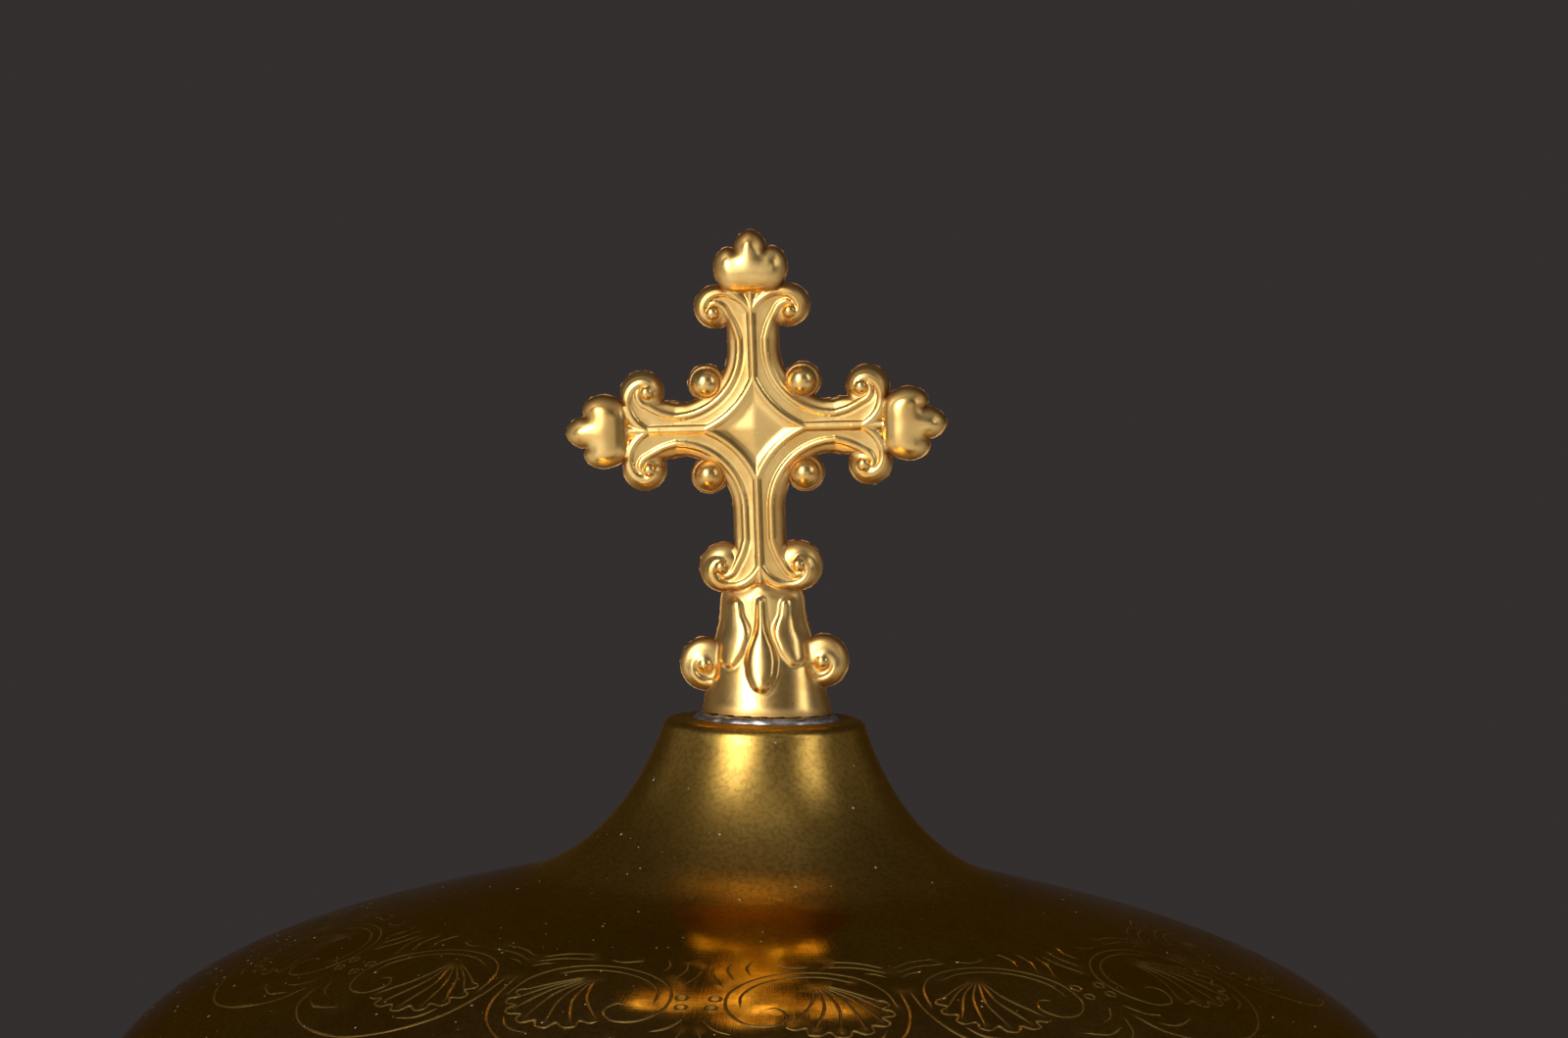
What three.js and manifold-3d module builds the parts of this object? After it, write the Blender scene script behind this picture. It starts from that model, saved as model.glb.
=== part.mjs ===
// A lidded ciborium in gilt brass: a spun foot, a stem with a knop, a bowl, and a loose lid
// that carries a stamped cross. Millimetres, Z up, the foot's flat base at Z = 0, the cross facing -Y.
import * as THREE from "three";
import { mergeVertices } from "three/addons/utils/BufferGeometryUtils.js";
import Module from "manifold-3d";

const wasm = await Module();
wasm.setup();

// Heights of the stacked pieces, from the base up
const FOOT_RIM_HEIGHT = 5.5;
const COLLAR_HEIGHT = 4.5;
const LOWER_STEM_HEIGHT = 25;
const KNOP_HEIGHT = 29;
const UPPER_STEM_HEIGHT = 21;
const SOCKET_HEIGHT = 8;
const BOWL_HEIGHT = 61;
const LID_RIM_HEIGHT = 6;
const SOLDER_HEIGHT = 0.6;

// Radii and walls
const SHEET = 1.0;
const KNOP_SHEET = 1.2;
const FOOT_RADIUS = 61.5;
const FOOT_RIM_PROUD = 2.6;
const FOOT_RIM_WIDTH = 7;
const FOOT_RIM_FLANGE = 0.9;
const FOOT_SEAT = 0.4;
const STEM_NECK_RADIUS = 6.2;
const STEM_END_RADIUS = 8.4;
const STEM_LIP = 1.6;
const COLLAR_RADIUS = 11.4;
const COLLAR_PROUD = 1.5;
const KNOP_RADIUS = 19.5;
const KNOP_SEAT = 0.6;
const GIRDLE_HEIGHT = 4.4;
const GIRDLE_PROUD = 1.9;
const SOCKET_RADIUS = 12.8;
const SOCKET_LIP = 1;
const BOWL_RADIUS = 60;
const BOWL_STRAIGHT = 13.5;
const LID_OVERHANG = 1.2;
const LID_RIM_PROUD = 2.1;
const BEZEL_DEPTH = 6;
const FILLET = 0.8;
const FILLET_SETBACK = 0.5;

// Fastenings
const ROD_RADIUS = 3;
const ROD_ENGAGEMENT = 6;
const NUT_WIDTH = 10;
const NUT_HEIGHT = 5;
const WASHER_THICKNESS = 1.5;
const STUD_RADIUS = 1.5;
const STUD_ENGAGEMENT = 5.5;
const STUD_NUT_WIDTH = 5.5;
const STUD_NUT_HEIGHT = 2.6;
const STUD_WASHER_RADIUS = 4.6;
const STUD_WASHER_THICKNESS = 0.9;
const THREAD_TAIL = 3;
const STUD_TAIL = 1.5;
const CHAMFER = 0.4;

// Clearances: loose holes, threads and brazed joints, the lid's easy fit, and the washer in the neck
const HOLE_CLEARANCE = 0.35;
const JOINT_GAP = 0.06;
const BEZEL_CLEARANCE = 0.45;
const WASHER_CLEARANCE = 1.2;

// The lid's ogee: from the neck's edge a hollow flare, then a full shoulder down to a short skirt.
// Taper and slope are angles from upright and from level, and the handles are the curves' pulls.
const LID = {
  neckRadius: 9.2,
  neckEdge: 1.0,
  neckTaper: 0.356,
  flareRadius: 23,
  flareDepth: 14.7,
  slope: 0.228,
  flareHandles: [5.5, 8.4],
  shoulderHandles: [20.6, 15.6],
  height: 41.8,
  skirt: 1.2,
};

// The foot's ogee, the lid's line turned to a stand
const FOOT = {
  neckRadius: 9.6,
  neckEdge: 1.0,
  neckTaper: 0.36,
  flareRadius: 23.5,
  flareDepth: 13.2,
  slope: 0.22,
  flareHandles: [5.2, 7.4],
  shoulderHandles: [19, 11],
  height: 32,
  skirt: 1.2,
};

// The cross's middle above the lid, its lean and its turn in degrees and its step to the side
const CROSS_CENTRE = 26.3;
const CROSS_LEAN_DEGREES = 2.95;
const CROSS_TURN_DEGREES = 5;
const CROSS_SHIFT = 0.2;

// The arms, from the middle: the volutes' eyes, the round lobes behind them, the buds and their tips
const SIDE_ARM = { eye: 9.65, lobe: 1.93, bud: 13.7, tip: 17.15 };
const TOP_ARM = { eye: 10.4, lobe: 1.93, bud: 14.3, tip: 17.75 };
const ARM_HALF_WIDTH = 2.42;
const BEAD_OFFSET = 1.19;
const CORNER_CENTRE = 7.23;
const STAR_REACH = 4.5;
const STAR_WAIST = 1.8;
const EYE_OFFSET = 3.48;
const EYE_RADIUS = 0.85;
const VOLUTE_SHIFT = 0.5;
const SPIRAL_RATIO = 0.56;
const SPIRAL_ANGLE = 2.6;
const SPIRAL_WIDTH_SHARE = 0.59;
const PEARL_PLACE = 4.25;
const PEARL_RADIUS = 1.36;
const PEARL_LOBE = 1.7;
const BUD = { halfWidth: 3.35, halfLength: 1.75, lobe: 1.6, cuspDepth: 0.3, notchAngle: 0.1 };

// The cross's hollow foot, up to under the arm: its sections at shares of its height
const CROSS_FOOT_HEIGHT = 13.85;
const CROSS_FOOT_LOBE = 2.15;
const CROSS_FOOT = [
  { share: -0.06, halfWidth: 6.0, halfDepth: 4.5 },
  { share: 0.04, halfWidth: 5.85, halfDepth: 4.3 },
  { share: 0.17, halfWidth: 5.45, halfDepth: 3.5 },
  { share: 0.35, halfWidth: 4.85, halfDepth: 2.9 },
  { share: 0.55, halfWidth: 4.4, halfDepth: 2.5 },
  { share: 0.66, halfWidth: 3.85, halfDepth: 2.25 },
  { share: 0.84, halfWidth: 3.6, halfDepth: 1.95 },
  { share: 1.03, halfWidth: 2.6, halfDepth: 1.2 },
];
const FOOT_VOLUTE = { across: 5.35, share: 0.375, lobe: 2.3 };
const FOOT_ARM = { eye: CROSS_CENTRE - CROSS_FOOT_HEIGHT, lobe: CROSS_FOOT_LOBE };

// What stands proud on the foot's slope, also at shares of its height: the drop and its stem in
// the middle, then the pairs of leaves and of lobes beside them
const LEAF_THICKNESS = 0.75;
const CROSS_FOOT_RELIEF = [
  { across: 0, share: 0.36, depth: 2.95, halfWidth: 1.4, halfLength: 2.4, splayAngle: 0, slope: 0.2 },
  { across: 0, share: 0.63, depth: 2.2, halfWidth: 0.65, halfLength: 2.7, splayAngle: 0, slope: 0.14 },
  { across: 2.1, share: 0.51, depth: 2.2, halfWidth: 1.05, halfLength: 2.6, splayAngle: 0.54, slope: 0.14 },
  { across: 2.15, share: 0.74, depth: 1.6, halfWidth: 1.15, halfLength: 1.3, splayAngle: 0, slope: 0.12 },
];
const SOLDER_PROUD = 0.7;

// Depths of the cross's levels from the seam between its halves
const FLANGE_DEPTH = 1.05;
const EDGE_DEPTH = 0.6;
const CHANNEL_DEPTH = 1.45;
const BEAD_DEPTH = 1.8;
const RIDGE_DEPTH = 1.9;
const STAR_DEPTH = 1.75;
const LOBE_DEPTH = 1.35;
const EYE_DEPTH = 2.2;
const PEARL_DEPTH = 2.0;
const BUD_DEPTH = 2.4;

// Facets round a turned piece, and the handle that makes a curve a quarter of a circle
const WIDE_FACETS = 28;
const STEM_FACETS = 16;
const BORE_FACETS = 12;
const QUARTER_HANDLE = 0.5523;

const point = (x, y) => new THREE.Vector2(x, y);

// Levels that follow from the stack
const footTop = FOOT_RIM_HEIGHT + FOOT.height;
const lowerCollarTop = footTop + COLLAR_HEIGHT;
const lowerStemTop = lowerCollarTop + LOWER_STEM_HEIGHT;
const knopMiddle = lowerStemTop + KNOP_HEIGHT / 2;
const knopTop = lowerStemTop + KNOP_HEIGHT;
const upperStemTop = knopTop + UPPER_STEM_HEIGHT;
const upperCollarTop = upperStemTop + COLLAR_HEIGHT;
const bowlBase = upperCollarTop + SOCKET_HEIGHT;
const bowlRim = bowlBase + BOWL_HEIGHT;
const lidRimTop = bowlRim + LID_RIM_HEIGHT;
const lidTop = lidRimTop + LID.height;
const rodBore = ROD_RADIUS + HOLE_CLEARANCE;
const studBore = STUD_RADIUS + HOLE_CLEARANCE;
const lidRadius = BOWL_RADIUS + LID_OVERHANG;
const bezelRadius = BOWL_RADIUS - SHEET - BEZEL_CLEARANCE;
const threadRadius = ROD_RADIUS + JOINT_GAP;
const washerRadius = FOOT.neckRadius - SHEET - WASHER_CLEARANCE;

// A curve of the third degree as points, without its first one.
function cubic(a, b, c, d, steps) {
  return new THREE.CubicBezierCurve(a, b, c, d).getPoints(steps).slice(1);
}

// The edge of a moulding from its low to its high side: a bead that stands proud of two fillets.
function beadedEdge(outer, low, high, proud) {
  const STEPS = 4;
  const face = outer - proud;
  const middle = (low + high) / 2;
  const half = (high - low) / 2 - FILLET;
  const bead = Array.from({ length: STEPS - 1 }, (_, i) => {
    const angle = (Math.PI * (i + 1)) / STEPS;
    return point(face + proud * Math.sin(angle), middle - half * Math.cos(angle));
  });
  return [
    point(face, low),
    point(face, low + FILLET),
    ...bead,
    point(face, high - FILLET),
    point(face, high),
  ];
}

// The same line moved sideways by a distance, to the left of its run if the distance is positive.
function offset(line, distance) {
  return line.map((here, i) => {
    const before = line[Math.max(i - 1, 0)];
    const after = line[Math.min(i + 1, line.length - 1)];
    const run = after.clone().sub(before).normalize();
    return here.clone().add(point(-run.y, run.x).multiplyScalar(distance));
  });
}

// Turns a closed outline of radius and height about the Z axis.
function turn(outline, facets) {
  const ordered = THREE.ShapeUtils.area(outline) < 0 ? [...outline].reverse() : outline;
  const geometry = new THREE.LatheGeometry([...ordered, ordered[0].clone()], facets);
  return geometry.rotateX(Math.PI / 2);
}

// The ogee's outer line from the neck's edge down to its skirt, at the given top height.
function ogeeLine(form, radius, top) {
  const [leave, arrive] = form.flareHandles;
  const [swell, fall] = form.shoulderHandles;
  const start = point(form.neckRadius, top - form.neckEdge);
  const taper = point(Math.sin(form.neckTaper), -Math.cos(form.neckTaper));
  const down = point(Math.cos(form.slope), -Math.sin(form.slope));
  const join = point(form.flareRadius, top - form.flareDepth);
  const end = point(radius, top - form.height + form.skirt);
  const afterStart = start.clone().addScaledVector(taper, leave);
  const beforeJoin = join.clone().addScaledVector(down, -arrive);
  const afterJoin = join.clone().addScaledVector(down, swell);
  return [
    start,
    ...cubic(start, afterStart, beforeJoin, join, 3),
    ...cubic(join, afterJoin, point(end.x, end.y + fall), end, 4),
    point(radius, top - form.height),
  ];
}

// A spun ogee shell with a flat top that has a hole in it.
function ogeeShell(form, radius, top, hole) {
  const outer = ogeeLine(form, radius, top);
  const wall = offset(outer, -SHEET).filter((p) => p.y < top - SHEET);
  return turn(
    [
      point(hole, top),
      point(form.neckRadius - form.neckEdge, top),
      ...outer,
      ...wall.reverse(),
      point(form.neckRadius - SHEET, top - SHEET),
      point(hole, top - SHEET),
    ],
    WIDE_FACETS,
  );
}

// A flat ring between two heights.
function ring(inner, outer, low, high, facets) {
  return turn([point(inner, low), point(outer, low), point(outer, high), point(inner, high)], facets);
}

// A solid round bar between two heights, with chamfered ends.
function bar(radius, low, high) {
  return turn(
    [
      point(0, low),
      point(radius - CHAMFER, low),
      point(radius, low + CHAMFER),
      point(radius, high - CHAMFER),
      point(radius - CHAMFER, high),
      point(0, high),
    ],
    BORE_FACETS,
  );
}

// A hexagon nut with its bore, from a height upwards.
function hexNut(width, bore, low, height) {
  const corner = width / Math.sqrt(3);
  const corners = Array.from({ length: 6 }, (_, i) =>
    point(corner * Math.cos((i * Math.PI) / 3), corner * Math.sin((i * Math.PI) / 3)),
  );
  const shape = new THREE.Shape(corners);
  shape.holes.push(new THREE.Path().absarc(0, 0, bore, 0, Math.PI * 2, true));
  const geometry = new THREE.ExtrudeGeometry(shape, {
    depth: height,
    bevelEnabled: false,
    curveSegments: BORE_FACETS / 2,
  });
  return geometry.translate(0, 0, low);
}

// The ring under the foot's shell: a flange, a bead round its edge, and a recess below the seat.
function footRim() {
  const outer = FOOT_RADIUS + FOOT_RIM_PROUD;
  const inner = outer - FOOT_RIM_WIDTH;
  const recess = FOOT_RADIUS - SHEET - FOOT_SEAT;
  const ledge = FOOT_RIM_HEIGHT / 2;
  return turn(
    [
      point(inner, 0),
      point(outer, 0),
      point(outer, FOOT_RIM_FLANGE),
      ...beadedEdge(outer - FILLET_SETBACK, FOOT_RIM_FLANGE, FOOT_RIM_HEIGHT, FOOT_RIM_PROUD / 2),
      point(recess, FOOT_RIM_HEIGHT),
      point(recess, ledge),
      point(inner, ledge),
    ],
    WIDE_FACETS,
  );
}

// A moulded collar that the rod passes through.
function collar(low) {
  const high = low + COLLAR_HEIGHT;
  const edge = beadedEdge(COLLAR_RADIUS, low, high, COLLAR_PROUD);
  return turn([point(rodBore, low), ...edge, point(rodBore, high)], STEM_FACETS);
}

// A waisted stem piece between two heights. Its handles pull to a circle that leaves the neck radius.
function stem(low, high) {
  const bottom = point(STEM_END_RADIUS, low + STEM_LIP);
  const top = point(STEM_END_RADIUS, high - STEM_LIP);
  const pull = (STEM_NECK_RADIUS * 4 - STEM_END_RADIUS) / 3;
  const afterBottom = point(pull, THREE.MathUtils.lerp(bottom.y, top.y, 0.2));
  const beforeTop = point(pull, THREE.MathUtils.lerp(bottom.y, top.y, 0.8));
  return turn(
    [
      point(rodBore, low),
      point(STEM_END_RADIUS, low),
      bottom,
      ...cubic(bottom, afterBottom, beforeTop, top, 6),
      point(STEM_END_RADIUS, high),
      point(rodBore, high),
    ],
    STEM_FACETS,
  );
}

// One spun half of the knop. Up is 1 for the half above the girdle and -1 for the one below.
function knopHalf(up) {
  const line = (inset) => {
    const pole = knopMiddle + up * (KNOP_HEIGHT / 2 - inset);
    const seat = point(STEM_END_RADIUS + KNOP_SEAT, pole);
    const rim = point(KNOP_RADIUS - inset, knopMiddle + (up * GIRDLE_HEIGHT) / 2);
    const afterSeat = point(THREE.MathUtils.lerp(seat.x, rim.x, QUARTER_HANDLE), seat.y);
    const beforeRim = point(rim.x, THREE.MathUtils.lerp(rim.y, seat.y, QUARTER_HANDLE));
    return [point(rodBore, pole), seat, ...cubic(seat, afterSeat, beforeRim, rim, 4)];
  };
  return turn([...line(0), ...line(KNOP_SHEET).reverse()], STEM_FACETS);
}

// The plate between the knop's halves, which both seat on, with its moulded edge as the girdle.
function girdle() {
  const low = knopMiddle - GIRDLE_HEIGHT / 2;
  const high = knopMiddle + GIRDLE_HEIGHT / 2;
  const edge = beadedEdge(KNOP_RADIUS + GIRDLE_PROUD, low, high, GIRDLE_PROUD - FILLET_SETBACK);
  return turn([point(rodBore, low), ...edge, point(rodBore, high)], STEM_FACETS);
}

// The threaded socket brazed under the bowl, a hollow curve from the collar out to the bowl's base.
function bowlSocket() {
  const low = point(COLLAR_RADIUS - COLLAR_PROUD, upperCollarTop);
  const high = point(SOCKET_RADIUS, bowlBase - SOCKET_LIP);
  const hollow = new THREE.QuadraticBezierCurve(low, point(low.x, high.y), high);
  const threadEnd = upperCollarTop + ROD_ENGAGEMENT + JOINT_GAP;
  return turn(
    [
      point(0, threadEnd),
      point(threadRadius, threadEnd),
      point(threadRadius, upperCollarTop),
      ...hollow.getPoints(3),
      point(SOCKET_RADIUS, bowlBase),
      point(0, bowlBase),
    ],
    STEM_FACETS,
  );
}

// The spun bowl, from the middle of its base round its belly to a straight rim.
function bowl() {
  const flat = point(SOCKET_RADIUS, bowlBase);
  const belly = point(BOWL_RADIUS, bowlRim - BOWL_STRAIGHT);
  const afterFlat = point(THREE.MathUtils.lerp(flat.x, belly.x, QUARTER_HANDLE), bowlBase);
  const beforeBelly = point(BOWL_RADIUS, THREE.MathUtils.lerp(belly.y, bowlBase, QUARTER_HANDLE));
  const outer = [
    point(0, bowlBase),
    flat,
    ...cubic(flat, afterFlat, beforeBelly, belly, 5),
    point(BOWL_RADIUS, bowlRim),
  ];
  return turn([...outer, ...offset(outer, SHEET).reverse()], WIDE_FACETS);
}

// The moulding at the lid's edge, which rests on the bowl's rim.
function lidRim() {
  const inner = bezelRadius + JOINT_GAP;
  const outer = lidRadius + LID_RIM_PROUD;
  const edge = beadedEdge(outer, bowlRim, lidRimTop, LID_RIM_PROUD - FILLET_SETBACK);
  return turn([point(inner, bowlRim), ...edge, point(inner, lidRimTop)], WIDE_FACETS);
}

// Corners closer than this are one corner, and cutters reach this far past what they cut
const WELD = 1e-4;
const CUTTER_REACH = 80;

// A closed mesh as a manifold solid. A mirrored mesh, which faces inwards, is turned round.
function solid(geometry) {
  const bare = new THREE.BufferGeometry();
  bare.setAttribute("position", geometry.getAttribute("position"));
  bare.setIndex(geometry.getIndex());
  const merged = mergeVertices(bare, WELD);
  const corners = Array.from(merged.getIndex().array);
  const faces = [];
  for (let i = 0; i < corners.length; i += 3) {
    const face = corners.slice(i, i + 3);
    if (new Set(face).size === 3) faces.push(face);
  }
  const build = (triangles) =>
    new wasm.Manifold(
      new wasm.Mesh({
        numProp: 3,
        vertProperties: merged.getAttribute("position").array,
        triVerts: new Uint32Array(triangles.flat()),
      }),
    );
  const made = build(faces);
  return made.volume() < 0 ? build(faces.map((face) => face.reverse())) : made;
}

const joined = (solids) => solids.reduce((all, one) => all.add(one));

// A manifold solid as a three.js geometry.
function geometryOf(shape) {
  const mesh = shape.getMesh();
  const geometry = new THREE.BufferGeometry();
  const positions = new Float32Array(mesh.vertProperties);
  geometry.setAttribute("position", new THREE.BufferAttribute(positions, 3));
  geometry.setIndex(new THREE.BufferAttribute(new Uint32Array(mesh.triVerts), 1));
  geometry.computeVertexNormals();
  return geometry;
}

// A tube through rings of points, all of one count, closed at both ends.
function loft(rings) {
  const count = rings[0].length;
  const faces = [];
  for (let i = 0; i < rings.length - 1; i++)
    for (let j = 0; j < count; j++) {
      const a = i * count + j;
      const b = i * count + ((j + 1) % count);
      faces.push(a, b, b + count, a, b + count, a + count);
    }
  const last = (rings.length - 1) * count;
  for (let j = 1; j < count - 1; j++) faces.push(0, j + 1, j, last, last + j, last + j + 1);
  const geometry = new THREE.BufferGeometry().setFromPoints(rings.flat());
  geometry.setIndex(faces);
  return solid(geometry);
}

// The heads of a boss as [share of its width, share of its rise]
const ROUND_HEAD = [
  [0.68, 0.74],
  [0.05, 1],
];
const BEAD_HEAD = [[0.5, 1]];

// A boss on the seam plane: straight sides up to its low height, then a rounded head over its
// middle. The outline lies in the cross's plane, X across and Y up, and the head faces -Y in space.
function boss(outline, low, high, head = ROUND_HEAD) {
  const middle = outline.reduce((sum, p) => sum.add(p), point(0, 0)).divideScalar(outline.length);
  const layer = (scale, depth) =>
    outline.map((p) => {
      const at = middle.clone().lerp(p, scale);
      return new THREE.Vector3(at.x, -depth, at.y);
    });
  const crown = head.map(([scale, rise]) => layer(scale, THREE.MathUtils.lerp(low, high, rise)));
  return loft([layer(1, 0), layer(1, low), ...crown]);
}

// A round outline about a place.
function round(radius, [x, y], sides) {
  return Array.from({ length: sides }, (_, i) => {
    const angle = (i * Math.PI * 2) / sides;
    return point(x + radius * Math.cos(angle), y + radius * Math.sin(angle));
  });
}

// One end of a scroll band: where its ridge and its bead run as they curl round an eye.
function curl(reach) {
  const STEPS = 3;
  return Array.from({ length: STEPS + 1 }, (_, i) => {
    const turned = (SPIRAL_ANGLE * (STEPS - i)) / STEPS;
    const angle = turned - Math.PI / 2;
    const ridge = EYE_OFFSET * Math.exp(-SPIRAL_RATIO * turned);
    const bead = Math.max(ridge * (1 - SPIRAL_WIDTH_SHARE), EYE_RADIUS / 3);
    return {
      ridge: point(reach + ridge * Math.cos(angle), EYE_OFFSET + ridge * Math.sin(angle)),
      bead: point(reach + bead * Math.cos(angle), EYE_OFFSET + bead * Math.sin(angle)),
    };
  });
}

// One hollow side of the middle star, from its side tip to its top tip.
function starSide(reach, waist) {
  const control = waist * 2 - reach / 2;
  return new THREE.QuadraticBezierCurve(
    point(reach, 0),
    point(control, control),
    point(0, reach),
  );
}

// The stations of a scroll band from one arm's volute round the corner to the next arm's.
function bandStations(armA, armB) {
  const CORNER_STEPS = 5;
  const swap = ({ ridge, bead }) => ({
    ridge: point(ridge.y, ridge.x),
    bead: point(bead.y, bead.x),
  });
  const approach = (reach) => {
    const middle = (reach + CORNER_CENTRE) / 2;
    return [...curl(reach), { ridge: point(middle, 0), bead: point(middle, BEAD_OFFSET) }];
  };
  const radius = CORNER_CENTRE - BEAD_OFFSET;
  const side = starSide(STAR_REACH, STAR_WAIST);
  const corner = Array.from({ length: CORNER_STEPS + 1 }, (_, i) => {
    const angle = (Math.PI / 2) * (i / CORNER_STEPS);
    const bead = point(
      CORNER_CENTRE - radius * Math.sin(angle),
      CORNER_CENTRE - radius * Math.cos(angle),
    );
    if (i === 0) return { ridge: point(bead.x, 0), bead };
    if (i === CORNER_STEPS) return { ridge: point(0, bead.y), bead };
    return { ridge: side.getPoint((i - 1) / (CORNER_STEPS - 2)), bead };
  });
  return [...approach(armA), ...corner, ...approach(armB).reverse().map(swap)];
}

// A scroll band with its ridge, its channel and its bead. Sideways and upwards are 1 or -1.
function scrollBand(armA, armB, sideways, upwards) {
  const section = [
    [0, 0],
    [0, RIDGE_DEPTH],
    [0.32, CHANNEL_DEPTH],
    [0.66, CHANNEL_DEPTH],
    [0.98, BEAD_DEPTH],
    [1.3, 0],
  ];
  const rings = bandStations(armA, armB).map(({ ridge, bead }) =>
    section.map(([share, depth]) => {
      const x = THREE.MathUtils.lerp(ridge.x, bead.x, share);
      const z = THREE.MathUtils.lerp(ridge.y, bead.y, share);
      return new THREE.Vector3(sideways * x, -depth, upwards * z);
    }),
  );
  return loft(rings);
}

// The arms' plate, with a hollow curve in each corner.
function armPlate() {
  const radius = CORNER_CENTRE - ARM_HALF_WIDTH;
  const reaches = [TOP_ARM.bud, SIDE_ARM.bud, FOOT_ARM.eye, SIDE_ARM.bud];
  const shape = new THREE.Shape([point(SIDE_ARM.bud, ARM_HALF_WIDTH)]);
  reaches.forEach((reach, i) => {
    const turned = (i * Math.PI) / 2;
    const place = (x, y) => point(x, y).rotateAround(point(0, 0), turned);
    const centre = place(CORNER_CENTRE, CORNER_CENTRE);
    const far = place(ARM_HALF_WIDTH, reach);
    const across = place(-ARM_HALF_WIDTH, reach);
    shape.absarc(centre.x, centre.y, radius, turned - Math.PI / 2, turned - Math.PI, true);
    shape.lineTo(far.x, far.y);
    shape.lineTo(across.x, across.y);
  });
  const options = { depth: FLANGE_DEPTH, bevelEnabled: false, curveSegments: 5 };
  return solid(new THREE.ExtrudeGeometry(shape, options).rotateX(Math.PI / 2));
}

// The four-pointed star in the middle, a low pyramid with hollow sides.
function star() {
  const SIDE_STEPS = 3;
  const UNDER_RIDGE = 1.04;
  const side = starSide(STAR_REACH * UNDER_RIDGE, STAR_WAIST * UNDER_RIDGE);
  const rim = [0, 1, 2, 3].flatMap((i) =>
    side
      .getPoints(SIDE_STEPS)
      .slice(0, -1)
      .map((p) => p.rotateAround(point(0, 0), (i * Math.PI) / 2)),
  );
  const layer = (scale, depth) =>
    rim.map((p) => new THREE.Vector3(p.x * scale, -depth, p.y * scale));
  return loft([layer(1, 0), layer(1, CHANNEL_DEPTH), layer(0.03, STAR_DEPTH)]);
}

// A bud of three lobes at an arm's end, turned from the side arm's direction. Each of its halves
// runs from the heart's cusp round a side lobe to the notch and out to the tip.
function bud({ bud: middle, tip }, turned) {
  const cusp = middle - BUD.halfLength;
  const side = new THREE.Shape([point(cusp, 0)]);
  side.quadraticCurveTo(cusp - BUD.cuspDepth, BUD.halfWidth * 0.5, cusp, BUD.halfWidth * 0.86);
  side.absarc(middle, BUD.halfWidth - BUD.lobe, BUD.lobe, Math.PI * 0.75, BUD.notchAngle, true);
  side.quadraticCurveTo(tip - BUD.lobe * 0.6, BUD.halfWidth * 0.45, tip, 0);
  const half = side.getPoints(2);
  const mirrored = half.slice(1, -1).reverse();
  const outline = [...half, ...mirrored.map((p) => point(p.x, -p.y))];
  const placed = outline.map((p) => p.rotateAround(point(0, 0), turned));
  return boss(placed, EDGE_DEPTH, BUD_DEPTH);
}

// A height on the cross's foot, given as a share, from the cross's middle.
const footLevel = (share) => share * CROSS_FOOT_HEIGHT - CROSS_CENTRE;

// The flared foot, cut at the seam plane, with the drop and the leaves that lie on its slope.
function crossFoot() {
  const SIDES = 8;
  const rings = CROSS_FOOT.map(({ share, halfWidth, halfDepth }) =>
    Array.from({ length: SIDES + 1 }, (_, i) => {
      const angle = (i * Math.PI) / SIDES;
      const depth = i % SIDES === 0 ? 0 : halfDepth * Math.sin(angle);
      return new THREE.Vector3(halfWidth * Math.cos(angle), -depth, footLevel(share));
    }),
  );
  const relief = CROSS_FOOT_RELIEF.flatMap((leaf) =>
    (leaf.across === 0 ? [1] : [-1, 1]).map((side) => {
      const geometry = new THREE.SphereGeometry(1, 6, 4);
      geometry.scale(leaf.halfWidth, LEAF_THICKNESS, leaf.halfLength);
      geometry.rotateY(-side * leaf.splayAngle).rotateX(leaf.slope);
      return solid(geometry.translate(side * leaf.across, -leaf.depth, footLevel(leaf.share)));
    }),
  );
  return [loft(rings), ...relief];
}

// One stamping of the cross, about its middle, its back flat on the seam plane.
function crossStamping() {
  const parts = [armPlate(), star(), ...crossFoot()];
  const volute = (lobe, x, z, eyeX, eyeZ) => {
    parts.push(boss(round(lobe, [x, z], 8), EDGE_DEPTH, LOBE_DEPTH));
    parts.push(boss(round(EYE_RADIUS, [eyeX, eyeZ], 6), LOBE_DEPTH, EYE_DEPTH, BEAD_HEAD));
  };
  for (const sideways of [-1, 1]) {
    parts.push(scrollBand(SIDE_ARM.eye, TOP_ARM.eye, sideways, 1));
    parts.push(scrollBand(SIDE_ARM.eye, FOOT_ARM.eye, sideways, -1));
    for (const upwards of [-1, 1]) {
      const arm = upwards > 0 ? TOP_ARM : FOOT_ARM;
      const corner = [sideways * PEARL_PLACE, upwards * PEARL_PLACE];
      parts.push(boss(round(PEARL_LOBE, corner, 8), EDGE_DEPTH, FLANGE_DEPTH));
      parts.push(boss(round(PEARL_RADIUS, corner, 7), FLANGE_DEPTH, PEARL_DEPTH, BEAD_HEAD));
      const x = sideways * EYE_OFFSET;
      const z = upwards * EYE_OFFSET;
      const along = sideways * SIDE_ARM.eye;
      const up = upwards * arm.eye;
      volute(SIDE_ARM.lobe, along + sideways * VOLUTE_SHIFT, z, along, z);
      volute(arm.lobe, x, up + upwards * VOLUTE_SHIFT, x, up);
    }
    const across = sideways * FOOT_VOLUTE.across;
    const low = footLevel(FOOT_VOLUTE.share);
    volute(FOOT_VOLUTE.lobe, across, low, across, low);
  }
  parts.push(bud(SIDE_ARM, 0), bud(SIDE_ARM, Math.PI), bud(TOP_ARM, Math.PI / 2));
  return geometryOf(joined(parts)).translate(0, 0, CROSS_CENTRE);
}

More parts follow.
